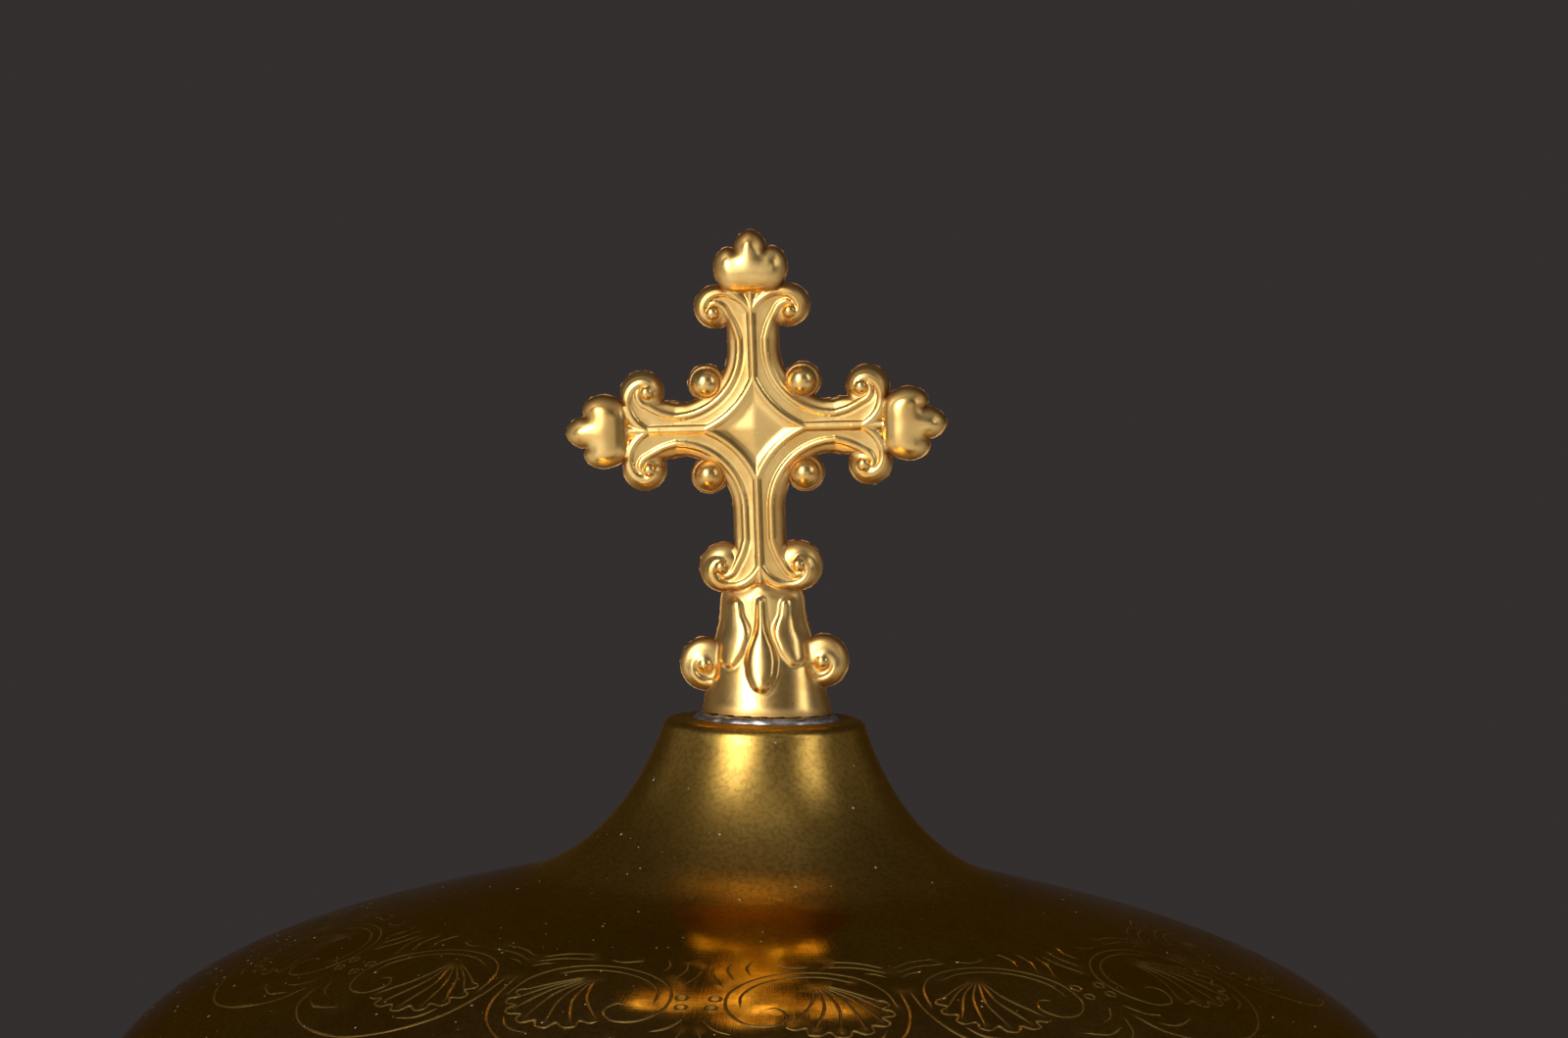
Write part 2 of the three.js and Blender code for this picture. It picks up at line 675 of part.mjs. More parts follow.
// The cross stands on the lid a little crooked, as it has been soldered.
const crossTurn = THREE.MathUtils.degToRad(-CROSS_TURN_DEGREES);
const crossPlace = new THREE.Group();
crossPlace.position.set(CROSS_SHIFT, 0, lidTop);
crossPlace.rotation.set(0, THREE.MathUtils.degToRad(-CROSS_LEAN_DEGREES), crossTurn);

// A stamping in its place, bored for the stud and cut level above the solder.
function crossHalf(name, stamping, turned) {
  const mesh = new THREE.Mesh(stamping, new THREE.MeshStandardMaterial(giltBright));
  mesh.name = name;
  mesh.rotation.z = turned;
  crossPlace.add(mesh);
  crossPlace.updateMatrixWorld(true);
  const toMesh = mesh.matrixWorld.clone().invert();
  const boreTop = lidTop + SOLDER_HEIGHT + STUD_ENGAGEMENT;
  const bore = ring(0, studBore, lidTop - CUTTER_REACH, boreTop, BORE_FACETS);
  const block = () => new THREE.BoxGeometry(CUTTER_REACH, CUTTER_REACH, CUTTER_REACH * 2);
  const below = block().translate(0, 0, lidTop + SOLDER_HEIGHT + JOINT_GAP - CUTTER_REACH);
  const behind = block().translate(0, (CUTTER_REACH - JOINT_GAP) / 2, 0);
  const cutters = [behind, bore.applyMatrix4(toMesh), below.applyMatrix4(toMesh)];
  const cut = cutters.reduce((rest, cutter) => rest.subtract(solid(cutter)), solid(stamping));
  mesh.geometry = geometryOf(cut);
}

// The pad of grey solder that the cross stands in, an oval with a soft edge.
function solderPad() {
  const { halfWidth, halfDepth } = CROSS_FOOT[1];
  const upwards = new THREE.Vector3(0, 0, 1);
  const middle = new THREE.Vector3(CROSS_SHIFT, 0, lidTop);
  const layer = (proud, height) =>
    Array.from({ length: STEM_FACETS }, (_, i) => {
      const angle = (i * Math.PI * 2) / STEM_FACETS;
      const x = (halfWidth + proud) * Math.cos(angle);
      const y = (halfDepth + proud) * Math.sin(angle);
      return new THREE.Vector3(x, y, height).applyAxisAngle(upwards, crossTurn).add(middle);
    });
  const pad = loft([layer(SOLDER_PROUD, 0), layer(SOLDER_PROUD, SOLDER_HEIGHT / 2), layer(0, SOLDER_HEIGHT)]);
  const hole = ring(0, studBore, lidTop - CUTTER_REACH, lidTop + CUTTER_REACH, BORE_FACETS);
  return geometryOf(pad.subtract(solid(hole)));
}

const gilt = { color: 0xd9a441, roughness: 0.24, metalness: 1 };
const giltBright = { color: 0xe6b450, roughness: 0.2, metalness: 1 };
const bareBrass = { color: 0xb98d3e, roughness: 0.4, metalness: 1 };
const greySolder = { color: 0x8d8a86, roughness: 0.42, metalness: 1 };

const ciborium = new THREE.Group();

function add(name, geometry, finish) {
  const mesh = new THREE.Mesh(geometry, new THREE.MeshStandardMaterial(finish));
  mesh.name = name;
  ciborium.add(mesh);
}

const footUnderside = footTop - SHEET;
const nutTop = footUnderside - WASHER_THICKNESS;
const nutBase = nutTop - NUT_HEIGHT;
const rodTop = upperCollarTop + ROD_ENGAGEMENT;
const studUnderside = lidTop - SHEET;
const studNutTop = studUnderside - STUD_WASHER_THICKNESS;
const studNutBase = studNutTop - STUD_NUT_HEIGHT;
const studTop = lidTop + SOLDER_HEIGHT + STUD_ENGAGEMENT - JOINT_GAP;
const studWasher = ring(studBore, STUD_WASHER_RADIUS, studNutTop, studUnderside, BORE_FACETS);
const bezel = ring(bezelRadius - SHEET, bezelRadius, bowlRim - BEZEL_DEPTH, lidRimTop, WIDE_FACETS);

add("foot_rim", footRim(), gilt);
add("foot_shell", ogeeShell(FOOT, FOOT_RADIUS, footTop, rodBore), gilt);
add("lower_collar", collar(footTop), gilt);
add("lower_stem", stem(lowerCollarTop, lowerStemTop), gilt);
add("knop_lower_half", knopHalf(-1), gilt);
add("knop_girdle", girdle(), giltBright);
add("knop_upper_half", knopHalf(1), gilt);
add("upper_stem", stem(knopTop, upperStemTop), gilt);
add("upper_collar", collar(upperStemTop), gilt);
add("bowl_socket", bowlSocket(), gilt);
add("bowl", bowl(), gilt);
add("foot_washer", ring(rodBore, washerRadius, nutTop, footUnderside, STEM_FACETS), bareBrass);
add("foot_nut", hexNut(NUT_WIDTH, threadRadius, nutBase, NUT_HEIGHT), bareBrass);
add("tie_rod", bar(ROD_RADIUS, nutBase - THREAD_TAIL, rodTop), bareBrass);

add("lid_rim", lidRim(), gilt);
add("lid_bezel", bezel, gilt);
add("lid_shell", ogeeShell(LID, lidRadius, lidTop, studBore), gilt);
add("cross_solder", solderPad(), greySolder);
add("cross_washer", studWasher, bareBrass);
add("cross_nut", hexNut(STUD_NUT_WIDTH, STUD_RADIUS + JOINT_GAP, studNutBase, STUD_NUT_HEIGHT), bareBrass);
add("cross_stud", bar(STUD_RADIUS, studNutBase - STUD_TAIL, studTop), bareBrass);

const stamping = crossStamping();
crossHalf("cross_front", stamping, 0);
crossHalf("cross_back", stamping, Math.PI);
ciborium.add(crossPlace);

export default ciborium;
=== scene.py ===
"""A lidded ciborium in gilt brass: fine turned surfaces, a stamped cross and engraved leaf work.

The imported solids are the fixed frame. Each piece here stands for one of them in its own place, in
metres, with the foot's base at Z = 0 and the front towards -Y. Sizes in the classes are millimetres.
"""

from __future__ import annotations

import logging
import math
from dataclasses import dataclass, field
from enum import Enum

import bmesh
import bpy
import numpy as np
from mathutils import Matrix, Vector
from mathutils.geometry import delaunay_2d_cdt

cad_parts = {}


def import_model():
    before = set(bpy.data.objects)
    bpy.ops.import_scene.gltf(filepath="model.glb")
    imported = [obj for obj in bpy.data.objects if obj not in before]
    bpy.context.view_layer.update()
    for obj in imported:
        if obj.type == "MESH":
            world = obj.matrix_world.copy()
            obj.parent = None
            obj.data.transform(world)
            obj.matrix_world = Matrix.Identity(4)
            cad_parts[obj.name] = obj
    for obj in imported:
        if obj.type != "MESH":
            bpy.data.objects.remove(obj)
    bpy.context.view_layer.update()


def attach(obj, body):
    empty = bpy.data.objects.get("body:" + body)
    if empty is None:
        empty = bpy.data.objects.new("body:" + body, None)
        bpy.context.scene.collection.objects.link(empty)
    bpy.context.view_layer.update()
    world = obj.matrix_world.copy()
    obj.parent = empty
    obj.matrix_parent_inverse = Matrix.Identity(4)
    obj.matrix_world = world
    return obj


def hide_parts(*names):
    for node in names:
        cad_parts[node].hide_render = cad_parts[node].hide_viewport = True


log = logging.getLogger("ciborium")
MM = 0.001
Line = list[tuple[float, float]]
Colour = tuple[float, float, float, float]
Socket = bpy.types.NodeSocket
Material = bpy.types.Material
Object = bpy.types.Object

# Facets round a wide, a slim, a small and a tiny turned piece, and round a thread
WIDE, SLIM, SMALL, TINY, THREAD = 288, 128, 96, 64, 32


class Body(Enum):
    """The two bodies that the lid's joint joins."""

    CUP = "cup"
    LID = "lid"


class Slot(Enum):
    """The record's material slots."""

    GILT = "gilt"
    GILT_BRIGHT = "gilt_bright"
    BARE_BRASS = "bare_brass"
    SOLDER = "solder"


# Finishes


class Shader:
    """A material's node tree, with short calls that add and join its nodes."""

    def __init__(self, name: str) -> None:
        """Starts an empty material of this name.

        Args:
            name: The material's name.
        """
        self.material = bpy.data.materials.new(name)
        self.material.use_nodes = True
        self.tree = self.material.node_tree
        self.tree.nodes.clear()

    def add(self, kind: str, settings: dict | None = None, **inputs: object) -> bpy.types.Node:
        """Adds a node and fills its inputs.

        Args:
            kind: The node's type.
            settings: Properties of the node itself.
            inputs: A value or a socket for each input, by its name with _ for a space, or by _0, _1.

        Returns:
            The new node.
        """
        node = self.tree.nodes.new(kind)
        for key, value in (settings or {}).items():
            setattr(node, key, value)
        for key, value in inputs.items():
            socket = node.inputs[int(key[1:])] if key[1:].isdigit() else node.inputs[key.replace("_", " ")]
            if isinstance(value, Socket):
                self.tree.links.new(value, socket)
            else:
                socket.default_value = value
        return node

    def place(self) -> Socket:
        """The point's place on the object."""
        return self.add("ShaderNodeTexCoord").outputs["Object"]

    def math(self, operation: str, *values: object) -> Socket:
        """The result of a Math node on these values or sockets."""
        inputs = {f"_{i}": value for i, value in enumerate(values)}
        return self.add("ShaderNodeMath", {"operation": operation}, **inputs).outputs[0]

    def spread(self, value: object, low: float, high: float, to_low: float, to_high: float) -> Socket:
        """A smooth step of a value from one range to another.

        Args:
            value: The socket that is read.
            low: Where the step starts.
            high: Where the step ends.
            to_low: The result before the step.
            to_high: The result after the step.

        Returns:
            The socket of the result.
        """
        settings = {"interpolation_type": "SMOOTHSTEP"}
        node = self.add("ShaderNodeMapRange", settings, Value=value, _1=low, _2=high, _3=to_low, _4=to_high)
        return node.outputs[0]

    def noise(self, vector: object, scale: float, detail: float = 2.0) -> Socket:
        """A noise of about 0.2 to 0.8 over a vector."""
        node = self.add("ShaderNodeTexNoise", None, Vector=vector, Scale=scale, Detail=detail, Roughness=0.55)
        return node.outputs["Fac"]

    def tint(self, share: object, first: object, second: object) -> Socket:
        """A mix of two colours by a share of the second."""
        node = self.add("ShaderNodeMix", {"data_type": "RGBA"}, _0=share, _6=first, _7=second)
        return node.outputs[2]

    def stretched(self, around: float, along: float) -> Socket:
        """The place on a turned form with its turn and its height stretched apart, without a seam.

        Args:
            around: How much the direction from the axis counts.
            along: How much the height and the distance from the axis count.

        Returns:
            The socket of the stretched vector.
        """
        split = self.add("ShaderNodeSeparateXYZ", None, Vector=self.place())
        flat = self.add("ShaderNodeCombineXYZ", None, X=split.outputs[0], Y=split.outputs[1])
        turn = self.add("ShaderNodeVectorMath", {"operation": "NORMALIZE"}, _0=flat.outputs[0])
        wide = self.add("ShaderNodeVectorMath", {"operation": "SCALE"}, _0=turn.outputs[0], Scale=around)
        reach = self.add("ShaderNodeVectorMath", {"operation": "LENGTH"}, _0=flat.outputs[0])
        height = self.math("MULTIPLY", self.math("SUBTRACT", split.outputs[2], reach.outputs["Value"]), along)
        upright = self.add("ShaderNodeCombineXYZ", None, Z=height)
        pair = {"_0": wide.outputs[0], "_1": upright.outputs[0]}
        both = self.add("ShaderNodeVectorMath", {"operation": "ADD"}, **pair)
        return both.outputs[0]

    def reach(self) -> Socket:
        """The distance from the upright axis.

        Returns:
            The socket of the distance.
        """
        level = (1.0, 1.0, 0.0)
        flat = self.add("ShaderNodeVectorMath", {"operation": "MULTIPLY"}, _0=self.place(), _1=level)
        return self.add("ShaderNodeVectorMath", {"operation": "LENGTH"}, _0=flat.outputs[0]).outputs["Value"]

    def bump(self, height: object, depth: float, under: object = None) -> Socket:
        """A fine relief of this depth in metres, over another one if it is given.

        Args:
            height: The socket of the relief's height.
            depth: Its depth in metres.
            under: The normal of a relief under it.

        Returns:
            The socket of the normal.
        """
        inputs = {"Height": height, "Distance": depth, "Strength": 1.0}
        if under is not None:
            inputs["Normal"] = under
        return self.add("ShaderNodeBump", None, **inputs).outputs[0]

    def finish(self, **inputs: object) -> Material:
        """Ends the tree in a Principled shader with these inputs and returns the material.

        Args:
            inputs: The shader's inputs by name, with _ for a space.

        Returns:
            The finished material.
        """
        surface = self.add("ShaderNodeBsdfPrincipled", None, **inputs)
        self.add("ShaderNodeOutputMaterial", None, Surface=surface.outputs[0])
        return self.material


@dataclass(frozen=True)
class SpunGilt:
    """Gilding on spun sheet: fine marks from polishing, a satin neck, a mirror shoulder, some dust, and
    engraved grooves tinted lighter, a painted highlight.
    """

    name: str
    colour: Colour = (0.76, 0.475, 0.115, 1.0)
    deep: Colour = (0.62, 0.36, 0.07, 1.0)
    dull: Colour = (0.34, 0.195, 0.035, 1.0)
    # The grooves' lighter colour, a painted highlight
    groove_glint: Colour = (1.0, 0.66, 0.21, 1.0)
    mottling: float = 0.45
    mirror: float = 0.10
    satin: float = 0.31
    satin_until: float = 0.018
    mirror_from: float = 0.026
    scratches: float = 0.000004
    clouds: float = 70.0
    stains: float = 420.0
    mottle: float = 2500.0
    brushing: tuple[float, float] = (420.0, 60.0)
    rings: float = 2600.0
    dust: float = 0.0
    dust_colour: Colour = (0.36, 0.30, 0.20, 1.0)
    dust_grain: float = 1000.0
    edge: Colour = (0.9, 0.64, 0.28, 1.0)

    def material(self) -> Material:
        """Builds the node tree and returns the material.

        Returns:
            The finished material.
        """
        shade = Shader(self.name)
        place = shade.place()
        cloud = shade.noise(place, self.clouds, 4.0)
        stain = shade.noise(place, self.stains, 3.0)
        brushed = shade.noise(shade.stretched(*self.brushing), 1.0, 2.0)
        lines = shade.noise(shade.stretched(1.0, self.rings), 1.0, 1.0)
        mottle = shade.noise(place, self.mottle, 3.0)
        tone = shade.spread(shade.math("ADD", cloud, shade.math("MULTIPLY", stain, 0.4)), 0.5, 0.9, 0.0, 1.0)
        even = shade.tint(tone, self.colour, self.deep)
        worn = shade.tint(shade.spread(mottle, 0.44, 0.62, 0.0, self.mottling), even, self.dull)
        # Painted highlight: the grooves are tinted lighter, more strongly in some places, as if their walls
        # caught the light; they are also rougher
        groove = shade.add("ShaderNodeAttribute", {"attribute_name": "groove"}).outputs["Fac"]
        glint_strength = shade.math("MULTIPLY", groove, shade.spread(stain, 0.38, 0.6, 0.35, 0.95))
        colour = shade.tint(glint_strength, worn, self.groove_glint)
        gloss = shade.spread(shade.reach(), self.satin_until, self.mirror_from, self.satin, self.mirror)
        uneven = shade.math("MULTIPLY_ADD", cloud, 0.10, -0.05)
        marks = shade.math("MULTIPLY_ADD", brushed, 0.10, -0.05)
        rough = shade.math("ADD", shade.math("ADD", gloss, uneven), marks)
        rough = shade.math("ADD", rough, shade.math("MULTIPLY", groove, 0.34))
        relief = shade.bump(brushed, self.scratches)
        relief = shade.bump(lines, self.scratches * 0.5, relief)
        if not self.dust:
            return shade.finish(
                Base_Color=colour, Metallic=1.0, Roughness=rough, Normal=relief, Specular_Tint=self.edge
            )
        speck = self.specks(shade)
        pale = shade.tint(speck, colour, self.dust_colour)
        bare = shade.math("MULTIPLY_ADD", speck, -0.8, 1.0)
        matt = shade.math("ADD", rough, shade.math("MULTIPLY", speck, 0.5))
        return shade.finish(
            Base_Color=pale, Metallic=bare, Roughness=matt, Normal=relief, Specular_Tint=self.edge
        )

    def specks(self, shade: Shader) -> Socket:
        """Where specks of dust lie on what faces up.

        Args:
            shade: The tree that the specks are added to.

        Returns:
            The socket of their share, 0 or 1.
        """
        given = {"Vector": shade.place(), "Scale": self.dust_grain, "Randomness": 1.0}
        cells = shade.add("ShaderNodeTexVoronoi", None, **given)
        colour = shade.add("ShaderNodeSeparateColor", None, Color=cells.outputs["Color"])
        across = shade.add("ShaderNodeSeparateXYZ", None, Vector=shade.place()).outputs[0]
        share = shade.spread(across, -0.032, 0.01, self.dust, self.dust * 0.2)
        chosen = shade.math("LESS_THAN", colour.outputs[0], share)
        size = shade.math("MULTIPLY_ADD", shade.math("POWER", colour.outputs[1], 3.0), 0.09, 0.045)
        near = shade.math("LESS_THAN", cells.outputs["Distance"], size)
        normal = shade.add("ShaderNodeNewGeometry").outputs["Normal"]
        upright = shade.add("ShaderNodeSeparateXYZ", None, Vector=normal).outputs[2]
        lies = shade.math("GREATER_THAN", upright, 0.25)
        return shade.math("MULTIPLY", shade.math("MULTIPLY", chosen, near), lies)


@dataclass(frozen=True)
class StampedGilt:
    """Gilding on the stampings: bright on what stands proud, copper red where it is thin and hollow, a tint
    that is partly thin gilding and partly painted shade in the recesses and along the outline.
    """

    name: str
    colour: Colour = (0.92, 0.615, 0.22, 1.0)
    deep: Colour = (0.84, 0.50, 0.15, 1.0)
    # Copper red of thin gilding, also used as painted shade in the hollows and on the flange
    copper: Colour = (0.50, 0.27, 0.09, 1.0)
    polish: float = 0.25
    edge: Colour = (1.0, 0.8, 0.45, 1.0)

    def material(self) -> Material:
        """Builds the node tree and returns the material.

        Returns:
            The finished material.
        """
        shade = Shader(self.name)
        place = shade.place()
        # The hollow mark darkens the gilding towards copper red: partly thin gilding, partly painted shade in
        # recesses and along the outline
        hollow = shade.add("ShaderNodeAttribute", {"attribute_name": "hollow"}).outputs["Fac"]
        cloud = shade.noise(place, 320.0, 3.0)
        pits = shade.noise(place, 2600.0, 3.0)
        worn = shade.math("ADD", hollow, shade.math("MULTIPLY_ADD", cloud, 0.7, -0.35))
        base = shade.tint(shade.spread(cloud, 0.4, 0.65, 0.0, 1.0), self.colour, self.deep)
        colour = shade.tint(shade.spread(worn, 0.3, 1.1, 0.0, 0.85), base, self.copper)
        dulled = shade.spread(worn, 0.1, 0.9, self.polish, 0.46)
        rough = shade.math("ADD", dulled, shade.math("MULTIPLY", pits, 0.08))
        relief = shade.bump(pits, 0.0000045)
        return shade.finish(
            Base_Color=colour, Metallic=1.0, Roughness=rough, Normal=relief, Specular_Tint=self.edge
        )


@dataclass(frozen=True)
class PlainMetal:
    """A metal without gilding, such as brass, solder or the copper red of a seam."""

    name: str
    colour: Colour
    deep: Colour
    rough: float = 0.35
    pits: float = 0.00001
    grain: float = 900.0

    def material(self) -> Material:
        """Builds the node tree and returns the material.

        Returns:
            The finished material.
        """
        shade = Shader(self.name)
        place = shade.place()
        cloud = shade.noise(place, self.grain, 3.0)
        fine = shade.noise(place, self.grain * 5, 2.0)
        colour = shade.tint(shade.spread(cloud, 0.35, 0.65, 0.0, 1.0), self.colour, self.deep)
        rough = shade.math("MULTIPLY_ADD", fine, 0.25, self.rough - 0.12)
        relief = shade.bump(cloud, self.pits)
        return shade.finish(Base_Color=colour, Metallic=1.0, Roughness=rough, Normal=relief)


# Lines and meshes


def smooth_line(points: Line | np.ndarray, steps: int = 8) -> np.ndarray:
    """A curve through points.

    Args:
        points: The points that it passes through.
        steps: How many parts each stretch gets.

    Returns:
        The curve's points.
    """
    given = np.asarray(points, float)
    held = np.vstack([2 * given[0] - given[1], given, 2 * given[-1] - given[-2]])
    share = np.linspace(0, 1, steps, endpoint=False)[:, None]
    parts = []
    for before, here, after, last in zip(held[:-3], held[1:-2], held[2:-1], held[3:]):
        bend = 2 * before - 5 * here + 4 * after - last
        twist = 3 * here - before - 3 * after + last
        parts.append(here + 0.5 * ((after - before) * share + bend * share**2 + twist * share**3))
    return np.vstack([*parts, given[-1:]])


def cubic(a: object, b: object, c: object, d: object, steps: int) -> np.ndarray:
    """A curve of the third degree without its first point.

    Args:
        a: The first end.
        b: The first end's pull.
        c: The last end's pull.
        d: The last end.
        steps: How many parts the curve gets.

    Returns:
        The points after the first.
    """
    t = np.linspace(0, 1, steps + 1)[1:, None]
    a, b, c, d = (np.asarray(p, float) for p in (a, b, c, d))
    return a * (1 - t) ** 3 + 3 * b * t * (1 - t) ** 2 + 3 * c * t**2 * (1 - t) + d * t**3


def eased(line: object, radius: float, steps: int = 4) -> np.ndarray:
    """Rounds the sharp corners of a closed line, and holds the flats between them flat.

    Args:
        line: The corners, in order.
        radius: The rounding's radius.
        steps: How many parts each rounding gets.

    Returns:
        The rounded line, its first point repeated at its end.
    """
    points = np.asarray(line, float)
    made: list[tuple[np.ndarray, bool]] = []
    for i, here in enumerate(points):
        back, on = points[i - 1] - here, points[(i + 1) % len(points)] - here
        back_run, on_run = np.linalg.norm(back), np.linalg.norm(on)
        cosine = float(back @ on / max(back_run * on_run, 1e-12))
        inner = math.acos(max(-1.0, min(1.0, cosine))) / 2
        turned = math.pi - 2 * inner
        if here[0] < 1e-6 or turned < 0.35:
            made.append((here, turned > 0.12))
            continue
        set_back = min(radius / math.tan(inner), back_run * 0.45, on_run * 0.45)
        first, last = here + back / back_run * set_back, here + on / on_run * set_back
        for t in np.linspace(0, 1, steps + 1):
            made.append((first * (1 - t) ** 2 + here * 2 * t * (1 - t) + last * t**2, True))
    held: list[np.ndarray] = []
    for (here, bent), (after, then_bent) in zip(made, [*made[1:], made[0]]):
        held.append(here)
        run = after - here
        length = np.linalg.norm(run)
        if length > radius * 5 and (bent or then_bent):
            held += [here + run * (radius / length), after - run * (radius / length)]
    return np.array([*held, held[0]])


def offset(line: np.ndarray, distance: float) -> np.ndarray:
    """The line moved sideways, to the left of its run.

    Args:
        line: The points.
        distance: How far they move.

    Returns:
        The moved points.
    """
    run = np.gradient(line, axis=0)
    run /= np.linalg.norm(run, axis=1)[:, None]
    return line + distance * np.column_stack([-run[:, 1], run[:, 0]])


def distance_to(points: np.ndarray, line: np.ndarray) -> np.ndarray:
    """How far each point lies from a line of straight stretches.

    Args:
        points: The places.
        line: The line's points.

    Returns:
        The distance of each place.
    """
    best = np.full(len(points), 1e9)
    for start, end in zip(line[:-1], line[1:]):
        run = end - start
        share = np.clip((points - start) @ run / max(run @ run, 1e-12), 0, 1)
        apart = points - start - share[:, None] * run
        best = np.minimum(best, (apart * apart).sum(1))
    return np.sqrt(best)


def within(points: np.ndarray, outline: np.ndarray) -> np.ndarray:
    """Which points lie inside a closed outline.

    Args:
        points: The places.
        outline: The outline's points.

    Returns:
        Whether each place lies inside.
    """
    x, y = points[:, 0], points[:, 1]
    inside = np.zeros(len(points), bool)
    for (x0, y0), (x1, y1) in zip(outline, np.roll(outline, -1, axis=0)):
        crossed = (y0 > y) != (y1 > y)
        inside ^= crossed & (x < (x1 - x0) * (y - y0) / (y1 - y0 + 1e-12) + x0)
    return inside


def ripples(x: np.ndarray, y: np.ndarray, size: float, seed: int) -> np.ndarray:
    """An uneven swell of about -1 to 1 over a plane.

    Args:
        x: Places across.
        y: Places up.
        size: About how far apart its crests are.
        seed: What fixes its pattern.

    Returns:
        The swell's height at each place.
    """
    dice = np.random.default_rng(seed)
    total = np.zeros_like(x)
    for _ in range(14):
        angle, phase = dice.uniform(0, math.tau, 2)
        wave = math.tau / (size * dice.uniform(0.6, 1.8))
        total += np.sin(wave * (x * math.cos(angle) + y * math.sin(angle)) + phase)
    return total / 5


def new_object(name: str, points: np.ndarray, edges: object, faces: object) -> Object:
    """A new object with this mesh, in the scene.

    Args:
        name: The object's name.
        points: The mesh's points.
        edges: Its loose edges.
        faces: Its faces.

    Returns:
        The new object.
    """
    mesh = bpy.data.meshes.new(name)
    mesh.from_pydata(np.asarray(points).tolist(), edges, faces)
    mesh.update()
    made = bpy.data.objects.new(name, mesh)
    bpy.context.scene.collection.objects.link(made)
    return made


def face_out(mesh: bpy.types.Mesh) -> None:
    """Turns a closed mesh inside out if its faces point inwards.

    Args:
        mesh: The closed mesh.
    """
    mesh.calc_loop_triangles()
    corners = np.zeros(len(mesh.vertices) * 3)
    mesh.vertices.foreach_get("co", corners)
    ends = np.zeros(len(mesh.loop_triangles) * 3, np.int32)
    mesh.loop_triangles.foreach_get("vertices", ends)
    a, b, c = corners.reshape(-1, 3)[ends.reshape(-1, 3)].transpose(1, 0, 2)
    if np.einsum("ij,ij->i", a, np.cross(b, c)).sum() < 0:
        mesh.flip_normals()


class NodeForm:
    """A Geometry Nodes tree, with short calls that add and join its nodes."""

    def __init__(self, name: str, sizes: dict[str, str]) -> None:
        """Starts a tree that takes a geometry, named sizes and a material.

        Args:
            name: The tree's name.
            sizes: For each size its socket's type, such as NodeSocketFloat.
        """
        self.tree = bpy.data.node_groups.new(name, "GeometryNodeTree")
        face = self.tree.interface
        given = {"Geometry": "NodeSocketGeometry", **sizes, "Material": "NodeSocketMaterial"}
        for title, kind in given.items():
            face.new_socket(name=title, in_out="INPUT", socket_type=kind)
        face.new_socket(name="Geometry", in_out="OUTPUT", socket_type="NodeSocketGeometry")
        self.given = self.tree.nodes.new("NodeGroupInput").outputs

    def add(self, kind: str, settings: dict | None = None, **inputs: object) -> bpy.types.Node:
        """Adds a node, as Shader.add does."""
        return Shader.add(self, kind, settings, **inputs)

    def math(self, operation: str, *values: object) -> Socket:
        """The result of a Math node on these values or sockets."""
        return Shader.math(self, operation, *values)

    def end(self, geometry: Socket) -> None:
        """Ends the tree in Realize Instances and Set Material.

        Args:
            geometry: The socket of the finished geometry.
        """
        real = self.add("GeometryNodeRealizeInstances", None, Geometry=geometry)
        smooth = self.add("GeometryNodeSetShadeSmooth", None, Geometry=real.outputs[0])
        inputs = {"Geometry": smooth.outputs[0], "Material": self.given["Material"]}
        dressed = self.add("GeometryNodeSetMaterial", None, **inputs)
        leave = self.tree.nodes.new("NodeGroupOutput")
        self.tree.links.new(dressed.outputs[0], leave.inputs[0])

    def run(self, obj: Object, **sizes: object) -> Object:
        """Runs the tree on an object and leaves its result as the object's plain mesh.

        Args:
            obj: The object that gives the geometry.
            sizes: The tree's inputs by name, with _ for a space.

        Returns:
            The same object.
        """
        modifier = obj.modifiers.new(self.tree.name, "NODES")
        modifier.node_group = self.tree
        items = self.tree.interface.items_tree
        names = {item.name: item.identifier for item in items if item.in_out == "INPUT"}
        for name, value in sizes.items():
            modifier[names[name.replace("_", " ")]] = value
        graph = bpy.context.evaluated_depsgraph_get()
        mesh = bpy.data.meshes.new_from_object(obj.evaluated_get(graph))
        obj.modifiers.clear()
        rough, obj.data = obj.data, mesh
        bpy.data.meshes.remove(rough)
        return obj


